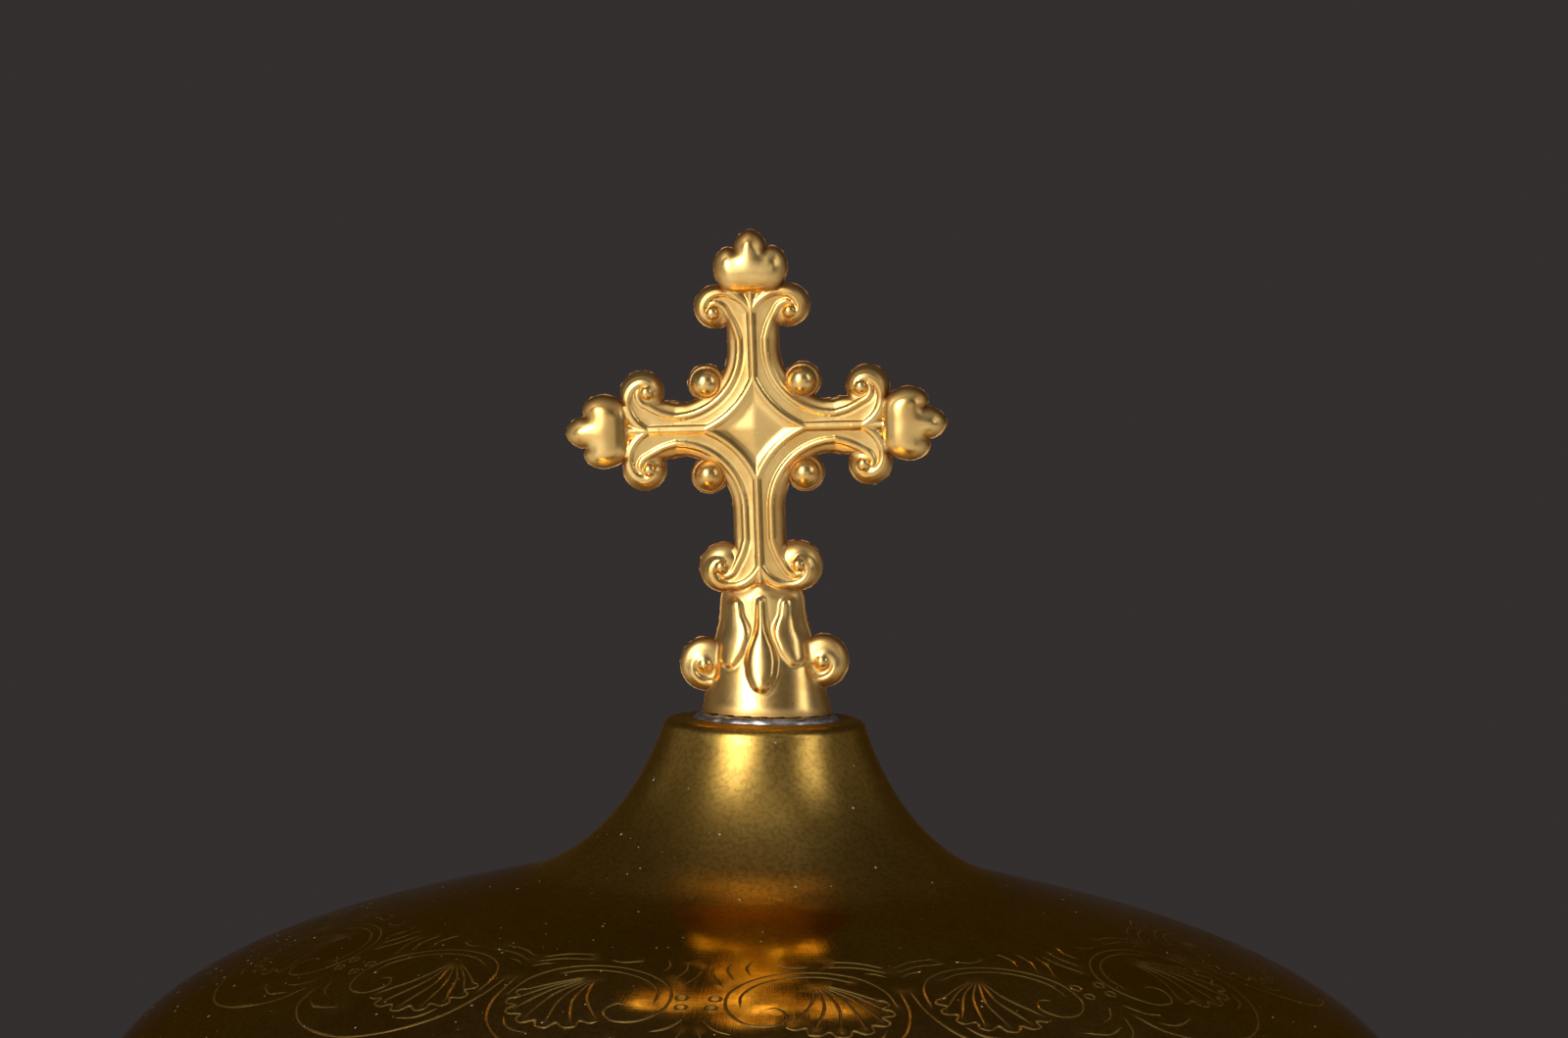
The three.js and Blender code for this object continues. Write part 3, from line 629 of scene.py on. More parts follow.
class Lathe:
    """Turns outlines about the upright axis with one Geometry Nodes tree."""

    def __init__(self) -> None:
        """Builds the tree: a grid whose columns follow the outline and whose rows go round.

        Flats cut the form to a hexagon, and a thread cuts it to a screw.
        """
        lengths = dict.fromkeys(("Flats", "Thread", "Depth", "Pitch"), "NodeSocketFloat")
        form = NodeForm("turned_form", {"Points": "NodeSocketInt", "Facets": "NodeSocketInt", **lengths})
        rows = form.math("ADD", form.given["Facets"], 1)
        sizes = {"Size_X": 1.0, "Size_Y": 1.0, "Vertices_X": form.given["Points"], "Vertices_Y": rows}
        grid = form.add("GeometryNodeMeshGrid", None, **sizes)
        here = form.add("GeometryNodeInputPosition").outputs[0]
        split = form.add("ShaderNodeSeparateXYZ", None, Vector=here)
        along = form.math("ADD", split.outputs[0], 0.5)
        last = form.math("SUBTRACT", form.given["Points"], 1)
        index = form.math("ROUND", form.math("MULTIPLY", along, last))
        settings = {"data_type": "FLOAT_VECTOR"}
        inputs = {"Geometry": form.given["Geometry"], "Value": here, "Index": index}
        outline = form.add("GeometryNodeSampleIndex", settings, **inputs)
        corner = form.add("ShaderNodeSeparateXYZ", None, Vector=outline.outputs[0])
        angle = form.math("MULTIPLY", form.math("ADD", split.outputs[1], 0.5), math.tau)
        wedge = form.math("SUBTRACT", form.math("FLOORED_MODULO", angle, math.pi / 3), math.pi / 6)
        flat = form.math("DIVIDE", form.given["Flats"], form.math("COSINE", wedge))
        height = form.math("DIVIDE", corner.outputs[2], form.given["Pitch"])
        wave = form.math("PINGPONG", form.math("SUBTRACT", height, form.math("DIVIDE", angle, math.tau)), 0.5)
        screw = form.math("SUBTRACT", form.given["Thread"], form.math("MULTIPLY", wave, form.given["Depth"]))
        radius = form.math("MINIMUM", form.math("MINIMUM", corner.outputs[0], flat), screw)
        x = form.math("MULTIPLY", radius, form.math("COSINE", angle))
        y = form.math("MULTIPLY", radius, form.math("SINE", angle))
        place = form.add("ShaderNodeCombineXYZ", None, X=x, Y=y, Z=corner.outputs[2])
        moved = form.add("GeometryNodeSetPosition", None, Geometry=grid.outputs[0], Position=place.outputs[0])
        closed = form.add("GeometryNodeMergeByDistance", None, Geometry=moved.outputs[0], Distance=0.000002)
        form.end(closed.outputs[0])
        self.form = form

    def turn(
        self,
        name: str,
        outline: np.ndarray,
        facets: int,
        material: Material,
        flats: float = 999.0,
        thread: float = 999.0,
        pitch: float = 1.0,
    ) -> Object:
        """Turns a closed outline of radius and height in millimetres.

        Args:
            name: The new object's name.
            outline: The outline, its first point repeated at its end.
            facets: How many facets go round.
            material: What it is made of.
            flats: How far a hexagon's flats lie from the axis.
            thread: The radius of a thread's crests.
            pitch: The height of one turn of the thread.

        Returns:
            The turned object, closed, its faces outwards.
        """
        outline = np.asarray(outline, float)
        points = np.column_stack([outline[:, 0], np.zeros(len(outline)), outline[:, 1]]) * MM
        obj = new_object(name, points, [(i, i + 1) for i in range(len(points) - 1)], [])
        cuts = {"Flats": flats * MM, "Thread": thread * MM, "Depth": pitch * 1.2 * MM, "Pitch": pitch * MM}
        self.form.run(obj, Points=len(points), Facets=facets, Material=material, **cuts)
        face_out(obj.data)
        return obj

    def nut(
        self, name: str, low: float, high: float, width: float, bore: float, metal: Material
    ) -> Object:
        """A hexagon nut, its corners turned off at both faces.

        Args:
            name: The nut's name.
            low: The height of its lower face.
            high: The height of its upper face.
            width: Its width across the flats.
            bore: The radius of its bore.
            metal: What it is made of.

        Returns:
            The nut.
        """
        face, corner = width * 0.475, width * 0.5774
        drop = (corner - face) * 0.5774
        edge = [(face, low), (corner, low + drop), (corner, high - drop), (face, high)]
        line = [(bore, low), *edge, (bore, high), (bore, low)]
        return self.crisp(self.turn(name, line, SMALL, metal, flats=width / 2))

    def rod(
        self, name: str, low: float, high: float, radius: float, pitch: float, metal: Material
    ) -> Object:
        """A threaded rod with chamfered ends.

        Args:
            name: The rod's name.
            low: The height of its lower end.
            high: The height of its upper end.
            radius: The radius of its thread's crests.
            pitch: The height of one turn of its thread.
            metal: What it is made of.

        Returns:
            The rod.
        """
        end = radius - 0.6
        side = [(radius, z) for z in np.arange(low + 0.5, high - 0.5, pitch / 6)]
        line = [(0, low), (end, low), *side, (radius, high - 0.5), (end, high), (0, high), (0, low)]
        return self.crisp(self.turn(name, line, THREAD, metal, thread=radius, pitch=pitch))

    @staticmethod
    def crisp(obj: Object) -> Object:
        """Marks an object's corners as sharp."""
        obj.data.set_sharp_from_angle(angle=math.radians(32))
        return obj


def seat(obj: Object, body: Body, slot: Slot, *nodes: str) -> None:
    """Lets a finished piece ride on its body in place of the solids that it stands for.

    Args:
        obj: The finished piece.
        body: The body that it rides on.
        slot: Its material's slot, not used.
        nodes: The solids that it stands for.
    """
    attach(obj, body.value)
    if nodes:
        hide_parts(*nodes)
    log.info("%s rides on %s, %d faces", obj.name, body.value, len(obj.data.polygons))


# Turned pieces


@dataclass
class Ogee:
    """The double curve of the lid and of the foot, from a neck's edge down to a skirt."""

    top: float
    radius: float
    neck: float
    taper: float
    flare: tuple[float, float]
    slope: float
    flare_pulls: tuple[float, float]
    shoulder_pulls: tuple[float, float]
    height: float
    edge: float = 1.0
    skirt: float = 1.2

    def outer(self) -> np.ndarray:
        """The outer line from the neck's edge to the skirt's foot.

        Returns:
            The line's points, from its top down.
        """
        start = np.array([self.neck, self.top - self.edge])
        join = np.array([self.flare[0], self.top - self.flare[1]])
        end = np.array([self.radius, self.top - self.height + self.skirt])
        taper = np.array([math.sin(self.taper), -math.cos(self.taper)])
        down = np.array([math.cos(self.slope), -math.sin(self.slope)])
        first = cubic(start, start + taper * self.flare_pulls[0], join - down * self.flare_pulls[1], join, 30)
        pull = join + down * self.shoulder_pulls[0]
        second = cubic(join, pull, (end[0], end[1] + self.shoulder_pulls[1]), end, 44)
        return np.vstack([start, first, second, (self.radius, self.top - self.height)])

    def crown(self, hole: float) -> np.ndarray:
        """The flat top with its rounded edge, from the hole's edge out to the neck.

        Args:
            hole: The radius of the hole in the top.

        Returns:
            The points, from the hole outwards.
        """
        angles = np.linspace(math.pi / 2, 0, 8)[:-1]
        middle = (self.neck - self.edge, self.top - self.edge)
        arc = [(middle[0] + self.edge * math.cos(a), middle[1] + self.edge * math.sin(a)) for a in angles]
        return np.array([(hole, self.top), ((hole + middle[0]) / 2, self.top), *arc])

    def shell(self, hole: float, sheet: float) -> np.ndarray:
        """The closed outline of a spun shell of this line.

        Args:
            hole: The radius of the hole in the top.
            sheet: The sheet's thickness.

        Returns:
            The outline, its first point repeated at its end.
        """
        outer = self.outer()
        wall = offset(outer, -sheet)
        wall = wall[wall[:, 1] < self.top - sheet]
        inner = [(self.neck - sheet, self.top - sheet), (hole, self.top - sheet)]
        outline = np.vstack([self.crown(hole), outer, wall[::-1], inner])
        return eased(outline, 0.12, 2)


def beaded(outer: float, low: float, high: float, proud: float, fillet: float = 0.8) -> Line:
    """A moulding's edge from its low to its high side: a bead that stands proud of two fillets.

    Args:
        outer: The bead's outer radius.
        low: The height of the low side.
        high: The height of the high side.
        proud: How far the bead stands out.
        fillet: The height of each fillet.

    Returns:
        The points, from low to high.
    """
    face, middle, half = outer - proud, (low + high) / 2, (high - low) / 2 - fillet
    angles = np.linspace(-math.pi / 2, math.pi / 2, 17)[1:-1]
    bead = [(face + proud * math.cos(a), middle + half * math.sin(a)) for a in angles]
    return [(face, low), (face, low + fillet), *bead, (face, high - fillet), (face, high)]


# The engraving


@dataclass(frozen=True)
class Frieze:
    """The strokes of one scroll of leaves, as an engraver draws them right of a mirror line.

    Places are millimetres where the shell measures 45 from its axis: across from the mirror line,
    which stands in the middle of a pair of scrolls, and up towards the neck.
    """

    stems: tuple[Line, ...] = (
        [(0.5, 3.0), (0.9, -1.5), (2.6, -5.4), (6.2, -8.3)]
        + [(10.5, -9.6), (15, -9.0), (18.4, -7.0), (19.6, -4.4)],
        [(1.6, -0.5), (2.0, 3.0), (4.0, 5.9), (7.4, 7.4), (11.4, 7.3), (15.0, 5.6), (17.3, 2.6), (17.4, -0.8)]
        + [(15.6, -3.2), (13.2, -3.4), (12.0, -1.8), (12.9, -0.4), (14.2, -0.8)],
        [(4.6, 4.9), (7.6, 6.3), (11.2, 6.2), (14.3, 4.7), (16.1, 2.2), (16.2, -0.4)],
    )
    leaflets: tuple[Line, ...] = (
        [(0.5, 7.2), (3.4, 8.6), (7.0, 9.0)],
        [(0.5, 8.4), (3.2, 9.9), (6.4, 10.4)],
        [(0.6, 5.9), (1.9, 6.9), (3.4, 7.2)],
        [(18.0, 3.6), (19.3, 6.2), (19.7, 8.8)],
        [(17.0, 5.2), (17.9, 7.6), (17.7, 10.0)],
        [(15.4, 6.6), (15.9, 8.6), (15.2, 10.6)],
        [(16.6, -5.0), (18.2, -4.2), (19.4, -2.6)],
        [(13.6, -6.0), (16.2, -6.6), (18.2, -5.8)],
        [(3.4, -4.0), (4.6, -5.6), (6.6, -6.2)],
        [(8.6, 9.2), (10.6, 8.8), (12.8, 9.6)],
    )
    berries: tuple[tuple[float, float, float], ...] = ((18.6, 1.2, 0.55), (18.8, -0.6, 0.5))
    fan: tuple[tuple[float, float], tuple[float, float], float] = ((8.6, 5.0), (7.9, -0.6), 5.6)

    def strokes(self) -> list[np.ndarray]:
        """The centre lines of all strokes of one scroll.

        Returns:
            A line of points for each stroke.
        """
        lines = [smooth_line(stem, 6) for stem in self.stems + self.leaflets]
        for x, y, radius in self.berries:
            angle = np.linspace(0, math.tau, 13)
            lines.append(np.column_stack([x + radius * np.cos(angle), y + radius * np.sin(angle)]))
        return lines + self.leaf()

    def leaf(self) -> list[np.ndarray]:
        """The acanthus leaf in the scroll's eye: ribs that fan out, and its notched edge.

        Returns:
            A line of points for each stroke of the leaf.
        """
        (x, y), (centre_x, centre_y), reach = self.fan
        lines, edge = [], []
        for degrees in (165, 190, 215, 240, 265, 290, 315):
            angle = math.radians(degrees)
            tip = (centre_x + reach * math.cos(angle), centre_y + reach * 0.8 * math.sin(angle))
            bow = ((x + tip[0]) / 2 + 0.8 * math.sin(angle), (y + tip[1]) / 2 - 0.8 * math.cos(angle) * 0.5)
            root = (x + (tip[0] - x) * 0.12, y + (tip[1] - y) * 0.12)
            lines.append(smooth_line([root, bow, (tip[0] * 0.93 + x * 0.07, tip[1] * 0.93 + y * 0.07)], 5))
            for turn, share in ((-12.5, 0.84), (-5, 1.0), (5, 1.02)):
                at, out = math.radians(degrees + turn), reach * share
                edge.append((centre_x + out * math.cos(at), centre_y + reach * 0.8 * share * math.sin(at)))
        return [*lines, smooth_line(edge, 3)]


@dataclass
class Engraving:
    """A frieze cut into an ogee's shoulder: mirrored pairs of scrolls, repeated round it."""

    line: Ogee
    first: float = 32.0
    last: float = 53.5
    pairs: int = 7
    columns: int = 42
    start: float = -123.0
    half_width: float = 0.17
    depth_share: float = 0.55
    measure: float = 45.0
    grid: float = 1.5
    rows: int = 18
    run_out: float = 1.2
    clear: float = 0.6

    def __post_init__(self) -> None:
        """Builds the Geometry Nodes tree that sets the frieze's piece round the shell."""
        form = NodeForm("ringed_frieze", {"Shell": "NodeSocketObject", "Repeats": "NodeSocketInt"})
        spots = form.add("GeometryNodeMeshLine", None, Count=form.given["Repeats"], Offset=(0.0, 0.0, 0.0))
        index = form.add("GeometryNodeInputIndex").outputs[0]
        turn = form.math("MULTIPLY", index, form.math("DIVIDE", math.tau, form.given["Repeats"]))
        angles = form.add("ShaderNodeCombineXYZ", None, Z=turn)
        rotation = form.add("FunctionNodeEulerToRotation", None, Euler=angles.outputs[0])
        inputs = {"Points": spots.outputs[0], "Instance": form.given["Geometry"]}
        ring = form.add("GeometryNodeInstanceOnPoints", None, **inputs, Rotation=rotation.outputs[0])
        real = form.add("GeometryNodeRealizeInstances", None, Geometry=ring.outputs[0])
        shell = form.add("GeometryNodeObjectInfo", None, Object=form.given["Shell"])
        joined = form.add("GeometryNodeJoinGeometry", None, Geometry=real.outputs[0])
        form.tree.links.new(shell.outputs["Geometry"], joined.inputs[0])
        merged = form.add("GeometryNodeMergeByDistance", None, Geometry=joined.outputs[0], Distance=0.000003)
        form.end(merged.outputs[0])
        self.form = form

    def band(self, outline: np.ndarray) -> tuple[int, int]:
        """Where the frieze starts and ends among the points of the shell's outline.

        Args:
            outline: The shell's closed outline.

        Returns:
            The first and the last point's number.
        """
        outer = int(np.argmax(outline[:, 0] > self.line.radius - 0.3))
        radii = outline[:outer, 0]
        return int(np.argmax(radii >= self.first)), int(np.nonzero(radii <= self.last)[0][-1])

    def profile(self, points: np.ndarray) -> tuple[np.ndarray, np.ndarray, np.ndarray]:
        """The frieze's own measure down the shoulder.

        Args:
            points: The outline's points that the frieze lies on.

        Returns:
            The places up the frieze, the points, and their outward directions.
        """
        fine = smooth_line(points, 5)
        run = np.gradient(fine, axis=0)
        run /= np.linalg.norm(run, axis=1)[:, None]
        outward = np.column_stack([-run[:, 1], run[:, 0]])
        steps = np.linalg.norm(np.diff(fine, axis=0), axis=1) / ((fine[1:, 0] + fine[:-1, 0]) / 2)
        down = np.concatenate([[0], np.cumsum(steps)])
        return (down[-1] / 2 - down) * self.measure, fine, outward

    def pattern(self, top: float) -> tuple[np.ndarray, list, np.ndarray]:
        """The flat pattern of one pair of scrolls.

        Args:
            top: How far up and down from its middle the frieze reaches.

        Returns:
            The points, the triangles, and how deep each point is cut.
        """
        side = math.pi / self.pairs * self.measure
        scroll = Frieze().strokes()
        strokes = [line * np.array([mirror, 1]) for line in scroll for mirror in (1, -1)]
        across = np.linspace(-side, side, self.columns + 1)
        rows = np.linspace(-top, top, self.rows)[1:-1]
        edge = [(x, -top) for x in across] + [(side, y) for y in rows]
        edge += [(x, top) for x in across[::-1]] + [(-side, y) for y in rows[::-1]]
        points, lines = list(edge), [(i, (i + 1) % len(edge)) for i in range(len(edge))]
        widths = []
        for stroke in strokes:
            length = np.concatenate([[0], np.cumsum(np.linalg.norm(np.diff(stroke, axis=0), axis=1))])
            closed = np.allclose(stroke[0], stroke[-1])
            ends = np.minimum(length, length[-1] - length) / self.run_out
            width = self.half_width * (np.ones(len(stroke)) if closed else np.clip(ends, 0.02, 1))
            widths.append(width)
            run = np.gradient(stroke, axis=0)
            run /= np.linalg.norm(run, axis=1)[:, None]
            aside = np.column_stack([-run[:, 1], run[:, 0]]) * width[:, None]
            for shift in (-1, 0, 1):
                start = len(points)
                points += [tuple(point) for point in stroke + shift * aside]
                lines += [(start + i, start + i + 1) for i in range(len(stroke) - 1)]
        free = []
        for j, y in enumerate(np.arange(-top + 0.75, top - 0.6, self.grid * 0.87)):
            free += [(x, y) for x in np.arange(-side + 0.8 + (j % 2) * self.grid / 2, side - 0.6, self.grid)]
        free = np.array(free)
        apart = np.min([distance_to(free, stroke) for stroke in strokes], axis=0)
        points += [tuple(point) for point in free[apart > self.clear]]
        made, _, faces, *_ = delaunay_2d_cdt([Vector(point) for point in points], lines, [], 0, 0.00002)
        flat = np.array([tuple(point) for point in made])
        deep = np.zeros(len(flat))
        for stroke, width in zip(strokes, widths):
            near = np.nonzero(((flat > stroke.min(0) - 0.3) & (flat < stroke.max(0) + 0.3)).all(1))[0]
            for a, b, wide in zip(stroke[:-1], stroke[1:], (width[1:] + width[:-1]) / 2):
                if len(near):
                    cut = self.depth_share * (wide - distance_to(flat[near], np.array([a, b])))
                    deep[near] = np.maximum(deep[near], cut)
        return flat, faces, np.where(deep < 0.015, 0, deep)

    def cut(
        self, lathe: Lathe, name: str, outline: np.ndarray, material: Material
    ) -> Object:
        """Turns a shell with the frieze cut into it.

        Args:
            lathe: What turns the plain part of the shell.
            name: The shell's name.
            outline: The shell's closed outline.
            material: Its finish.

        Returns:
            The shell, closed, its faces outwards.
        """
        first, last = self.band(outline)
        rest = np.vstack([outline[last:], outline[1 : first + 1]])
        plain = lathe.turn(name + "_plain", rest, self.pairs * self.columns, material)
        up, line, outward = self.profile(outline[first : last + 1])
        flat, faces, deep = self.pattern(up[0])
        turn = flat[:, 0] / self.measure + math.pi / self.pairs
        spots = [np.interp(-flat[:, 1], -up, values) for values in (*line.T, *outward.T)]
        radius, height = spots[0] - spots[2] * deep, spots[1] - spots[3] * deep
        points = np.column_stack([radius * np.cos(turn), radius * np.sin(turn), height]) * MM
        obj = new_object(name, points, [], [tuple(face) for face in faces])
        # The groove mark: the gilt reads it for rougher grooves and for their painted highlight
        mark = obj.data.attributes.new("groove", "FLOAT", "POINT")
        mark.data.foreach_set("value", np.clip(deep / 0.05, 0, 1))
        self.form.run(obj, Shell=plain, Repeats=self.pairs, Material=material)
        bpy.data.objects.remove(plain)
        self.close(obj)
        self.crisp(obj, line, outward)
        obj.data.transform(Matrix.Rotation(math.radians(self.start) - math.pi / self.pairs, 4, "Z"))
        return obj

    @staticmethod
    def close(obj: Object) -> None:
        """Turns all faces of the joined shell the same way, outwards.

        Args:
            obj: The joined shell.
        """
        held = bmesh.new()
        held.from_mesh(obj.data)
        bmesh.ops.recalc_face_normals(held, faces=held.faces)
        open_edges = sum(1 for edge in held.edges if len(edge.link_faces) != 2)
        held.to_mesh(obj.data)
        held.free()
        face_out(obj.data)
        log.info("%s: %d open edges", obj.name, open_edges)

    @staticmethod
    def crisp(obj: Object, line: np.ndarray, outward: np.ndarray) -> None:
        """Keeps the shell's curve smooth between the grooves, whose walls stay flat.

        Args:
            obj: The shell.
            line: The frieze's points down the shoulder.
            outward: Their outward directions.
        """
        mesh = obj.data
        count = len(mesh.loops)
        corner, face_of, at = np.zeros(count * 3), np.zeros(count, np.int32), np.zeros(count, np.int32)
        mesh.corner_normals.foreach_get("vector", corner)
        mesh.loops.foreach_get("vertex_index", at)
        sizes = np.zeros(len(mesh.polygons), np.int32)
        mesh.polygons.foreach_get("loop_total", sizes)
        face_of = np.repeat(np.arange(len(sizes)), sizes)
        face, place = np.zeros(len(sizes) * 3), np.zeros(len(mesh.vertices) * 3)
        mesh.polygons.foreach_get("normal", face)
        mesh.vertices.foreach_get("co", place)
        corner, face = corner.reshape(-1, 3), face.reshape(-1, 3)[face_of]
        place = place.reshape(-1, 3)[at] / MM
        radius = np.hypot(place[:, 0], place[:, 1])
        level = [np.interp(radius, line[:, 0], values) for values in (line[:, 1], *outward.T)]
        true = np.column_stack([level[1] * place[:, 0] / radius, level[1] * place[:, 1] / radius, level[2]])
        on_band = (radius > line[0, 0] - 0.01) & (radius < line[-1, 0] + 0.01)
        on_band &= np.abs(place[:, 2] - level[0]) < 0.3
        wall = (face * true).sum(1) < 0.985
        normals = np.where(on_band[:, None], np.where(wall[:, None], face, true), corner)
        mesh.normals_split_custom_set(normals.tolist())


@dataclass
class Foot:
    """The foot: a spun ogee shell on a moulded ring, with the washer, nut and rod that hold the stem."""

    rim_height: float = 5.5
    rim_proud: float = 2.6
    rim_width: float = 7.0
    flange: float = 0.9
    radius: float = 61.5
    sheet: float = 1.0
    bore: float = 3.35
    washer_radius: float = 7.4
    washer_height: float = 1.5
    nut_width: float = 10.0
    nut_height: float = 5.0
    nut_bore: float = 3.06
    rod_ends: tuple[float, float] = (27.0, 127.5)
    rod_radius: float = 3.0
    rod_pitch: float = 1.0
    line: Ogee = field(
        default_factory=lambda: Ogee(
            top=37.5,
            radius=61.5,
            neck=9.6,
            taper=0.36,
            flare=(23.5, 13.2),
            slope=0.22,
            flare_pulls=(5.2, 7.4),
            shoulder_pulls=(19.0, 11.0),
            height=32.0,
        )
    )

    def rim(self) -> np.ndarray:
        """The outline of the ring that the shell stands in.

        Returns:
            The closed outline.
        """
        outer = self.radius + self.rim_proud
        inner, recess = outer - self.rim_width, self.radius - self.sheet - 0.4
        edge = beaded(outer - 0.5, self.flange, self.rim_height, self.rim_proud / 2)
        ledge = self.rim_height / 2
        seat_line = [(recess, self.rim_height), (recess, ledge), (inner, ledge)]
        return eased([(inner, 0), (outer, 0), (outer, self.flange), *edge, *seat_line], 0.18)

    def build(self, lathe: Lathe, gilt: SpunGilt, brass: Material, plain: Material) -> None:
        """Builds and seats the foot's pieces.

        Args:
            lathe: What turns the outlines.
            gilt: The shell's finish.
            brass: The fastenings' material.
            plain: The gilding of the ring.
        """
        seat(lathe.turn("foot_ring", self.rim(), WIDE, plain), Body.CUP, Slot.GILT, "foot_rim")
        outline = self.line.shell(self.bore, self.sheet)
        shell = Engraving(self.line).cut(lathe, "foot_spinning", outline, gilt.material())
        seat(shell, Body.CUP, Slot.GILT, "foot_shell")
        high = self.line.top - self.sheet
        low, wide = high - self.washer_height, self.washer_radius
        washer = eased([(self.bore, low), (wide, low), (wide, high), (self.bore, high)], 0.2)
        seat(lathe.turn("foot_washer_turned", washer, SMALL, brass), Body.CUP, Slot.BARE_BRASS, "foot_washer")
        nut = lathe.nut("foot_nut_cut", low - self.nut_height, low, self.nut_width, self.nut_bore, brass)
        seat(nut, Body.CUP, Slot.BARE_BRASS, "foot_nut")
        rod = lathe.rod("tie_rod_threaded", *self.rod_ends, self.rod_radius, self.rod_pitch, brass)
        seat(rod, Body.CUP, Slot.BARE_BRASS, "tie_rod")


@dataclass
class Stem:
    """The stem: two collars, two waisted lengths and a knop with its girdle, threaded on the rod."""

    bore: float = 3.35
    foot_top: float = 37.5
    collar_height: float = 4.5
    collar_radius: float = 11.4
    collar_proud: float = 1.5
    lower: tuple[float, float] = (42.0, 67.0)
    upper: tuple[float, float] = (96.0, 117.0)
    neck: float = 6.2
    end: float = 8.4
    lip: float = 1.6
    knop_middle: float = 81.5
    knop_height: float = 29.0
    knop_radius: float = 19.5
    knop_sheet: float = 1.2
    girdle_height: float = 4.4
    girdle_proud: float = 1.9

    def collar(self, low: float) -> np.ndarray:
        """The outline of a moulded collar.

        Args:
            low: The height of its lower face.

        Returns:
            The closed outline.
        """
        high = low + self.collar_height
        edge = beaded(self.collar_radius, low, high, self.collar_proud)
        return eased([(self.bore, low), *edge, (self.bore, high)], 0.15)

    def length(self, low: float, high: float) -> np.ndarray:
        """The outline of a waisted length.

        Args:
            low: The height of its lower end.
            high: The height of its upper end.

        Returns:
            The closed outline.
        """
        bottom, top = low + self.lip, high - self.lip
        pull = (self.neck * 4 - self.end) / 3
        span = top - bottom
        pulls = (pull, bottom + span * 0.2), (pull, top - span * 0.2)
        waist = cubic((self.end, bottom), *pulls, (self.end, top), 30)
        foot = [(self.bore, low), (self.end, low), (self.end, bottom)]
        line = [*foot, *waist, (self.end, high), (self.bore, high)]
        return eased(line, 0.25)

    def knop(self, up: int) -> np.ndarray:
        """The outline of one half of the knop, the upper one if up is 1.

        Args:
            up: 1 for the upper half, -1 for the lower one.

        Returns:
            The closed outline.
        """
        lines = []
        for inset in (0.0, self.knop_sheet):
            pole = self.knop_middle + up * (self.knop_height / 2 - inset)
            rim = (self.knop_radius - inset, self.knop_middle + up * self.girdle_height / 2)
            first = (self.end + 0.6, pole)
            pull_out = (first[0] + (rim[0] - first[0]) * 0.5523, pole)
            pull_up = (rim[0], rim[1] + (pole - rim[1]) * 0.5523)
            lines.append(np.vstack([(self.bore, pole), first, cubic(first, pull_out, pull_up, rim, 26)]))
        return eased(np.vstack([lines[0], lines[1][::-1]]), 0.12, 2)

    def girdle(self) -> np.ndarray:
        """The outline of the plate between the knop's halves.

        Returns:
            The closed outline.
        """
        low, high = self.knop_middle - self.girdle_height / 2, self.knop_middle + self.girdle_height / 2
        edge = beaded(self.knop_radius + self.girdle_proud, low, high, self.girdle_proud - 0.5)
        return eased([(self.bore, low), *edge, (self.bore, high)], 0.15)

    def build(self, lathe: Lathe, gilt: Material, bright: Material) -> None:
        """Builds and seats the stem's pieces.

        Args:
            lathe: What turns the outlines.
            gilt: The stem's gilding.
            bright: The girdle's brighter gilding.
        """
        pieces = {
            "lower_collar": self.collar(self.foot_top),
            "lower_stem": self.length(*self.lower),
            "knop_lower_half": self.knop(-1),
            "knop_upper_half": self.knop(1),
            "upper_stem": self.length(*self.upper),
            "upper_collar": self.collar(self.upper[1]),
        }
        for name, outline in pieces.items():
            seat(lathe.turn(name + "_turned", outline, SLIM, gilt), Body.CUP, Slot.GILT, name)
        plate = lathe.turn("knop_girdle_turned", self.girdle(), SLIM, bright)
        seat(plate, Body.CUP, Slot.GILT_BRIGHT, "knop_girdle")


@dataclass
class Bowl:
    """The spun bowl and the threaded socket under it."""

    base: float = 129.5
    rim: float = 190.5
    radius: float = 60.0
    straight: float = 13.5
    sheet: float = 1.0
    socket_low: float = 121.5
    socket_radius: float = 12.8
    thread: float = 3.06
    thread_depth: float = 6.06

    def socket(self) -> np.ndarray:
        """The socket's outline, a hollow curve from the collar out to the bowl's base.

        Returns:
            The closed outline.
        """
        low, high = np.array([9.9, self.socket_low]), np.array([self.socket_radius, self.base - 1])
        corner = np.array([low[0], high[1]])
        t = np.linspace(0, 1, 16)[:, None]
        hollow = low * (1 - t) ** 2 + corner * 2 * t * (1 - t) + high * t**2
        end = self.socket_low + self.thread_depth
        inner = [(0, end), (self.thread, end), (self.thread, self.socket_low)]
        return eased([*inner, *hollow, (self.socket_radius, self.base), (0, self.base)], 0.15)

    def bowl(self) -> np.ndarray:
        """The bowl's outline, from the middle of its base to its rim and back inside.

        Returns:
            The closed outline.
        """
        flat = np.array([self.socket_radius, self.base])
        belly = np.array([self.radius, self.rim - self.straight])
        pull_out = (flat[0] + (belly[0] - flat[0]) * 0.5523, self.base)
        pull_down = (self.radius, belly[1] + (self.base - belly[1]) * 0.5523)
        curve = cubic(flat, pull_out, pull_down, belly, 48)
        upright = [(self.radius, self.rim - 6.0), (self.radius, self.rim)]
        outer = np.vstack([(0, self.base), (6.0, self.base), flat, curve, upright])
        inner = offset(outer, self.sheet)
        inner[0, 0] = 0.0
        return eased(np.vstack([outer, inner[::-1]]), 0.3)

    def build(self, lathe: Lathe, gilt: Material) -> None:
        """Builds and seats the bowl and its socket."""
        seat(lathe.turn("bowl_socket_turned", self.socket(), SLIM, gilt), Body.CUP, Slot.GILT, "bowl_socket")
        seat(lathe.turn("bowl_spinning", self.bowl(), WIDE, gilt), Body.CUP, Slot.GILT, "bowl")


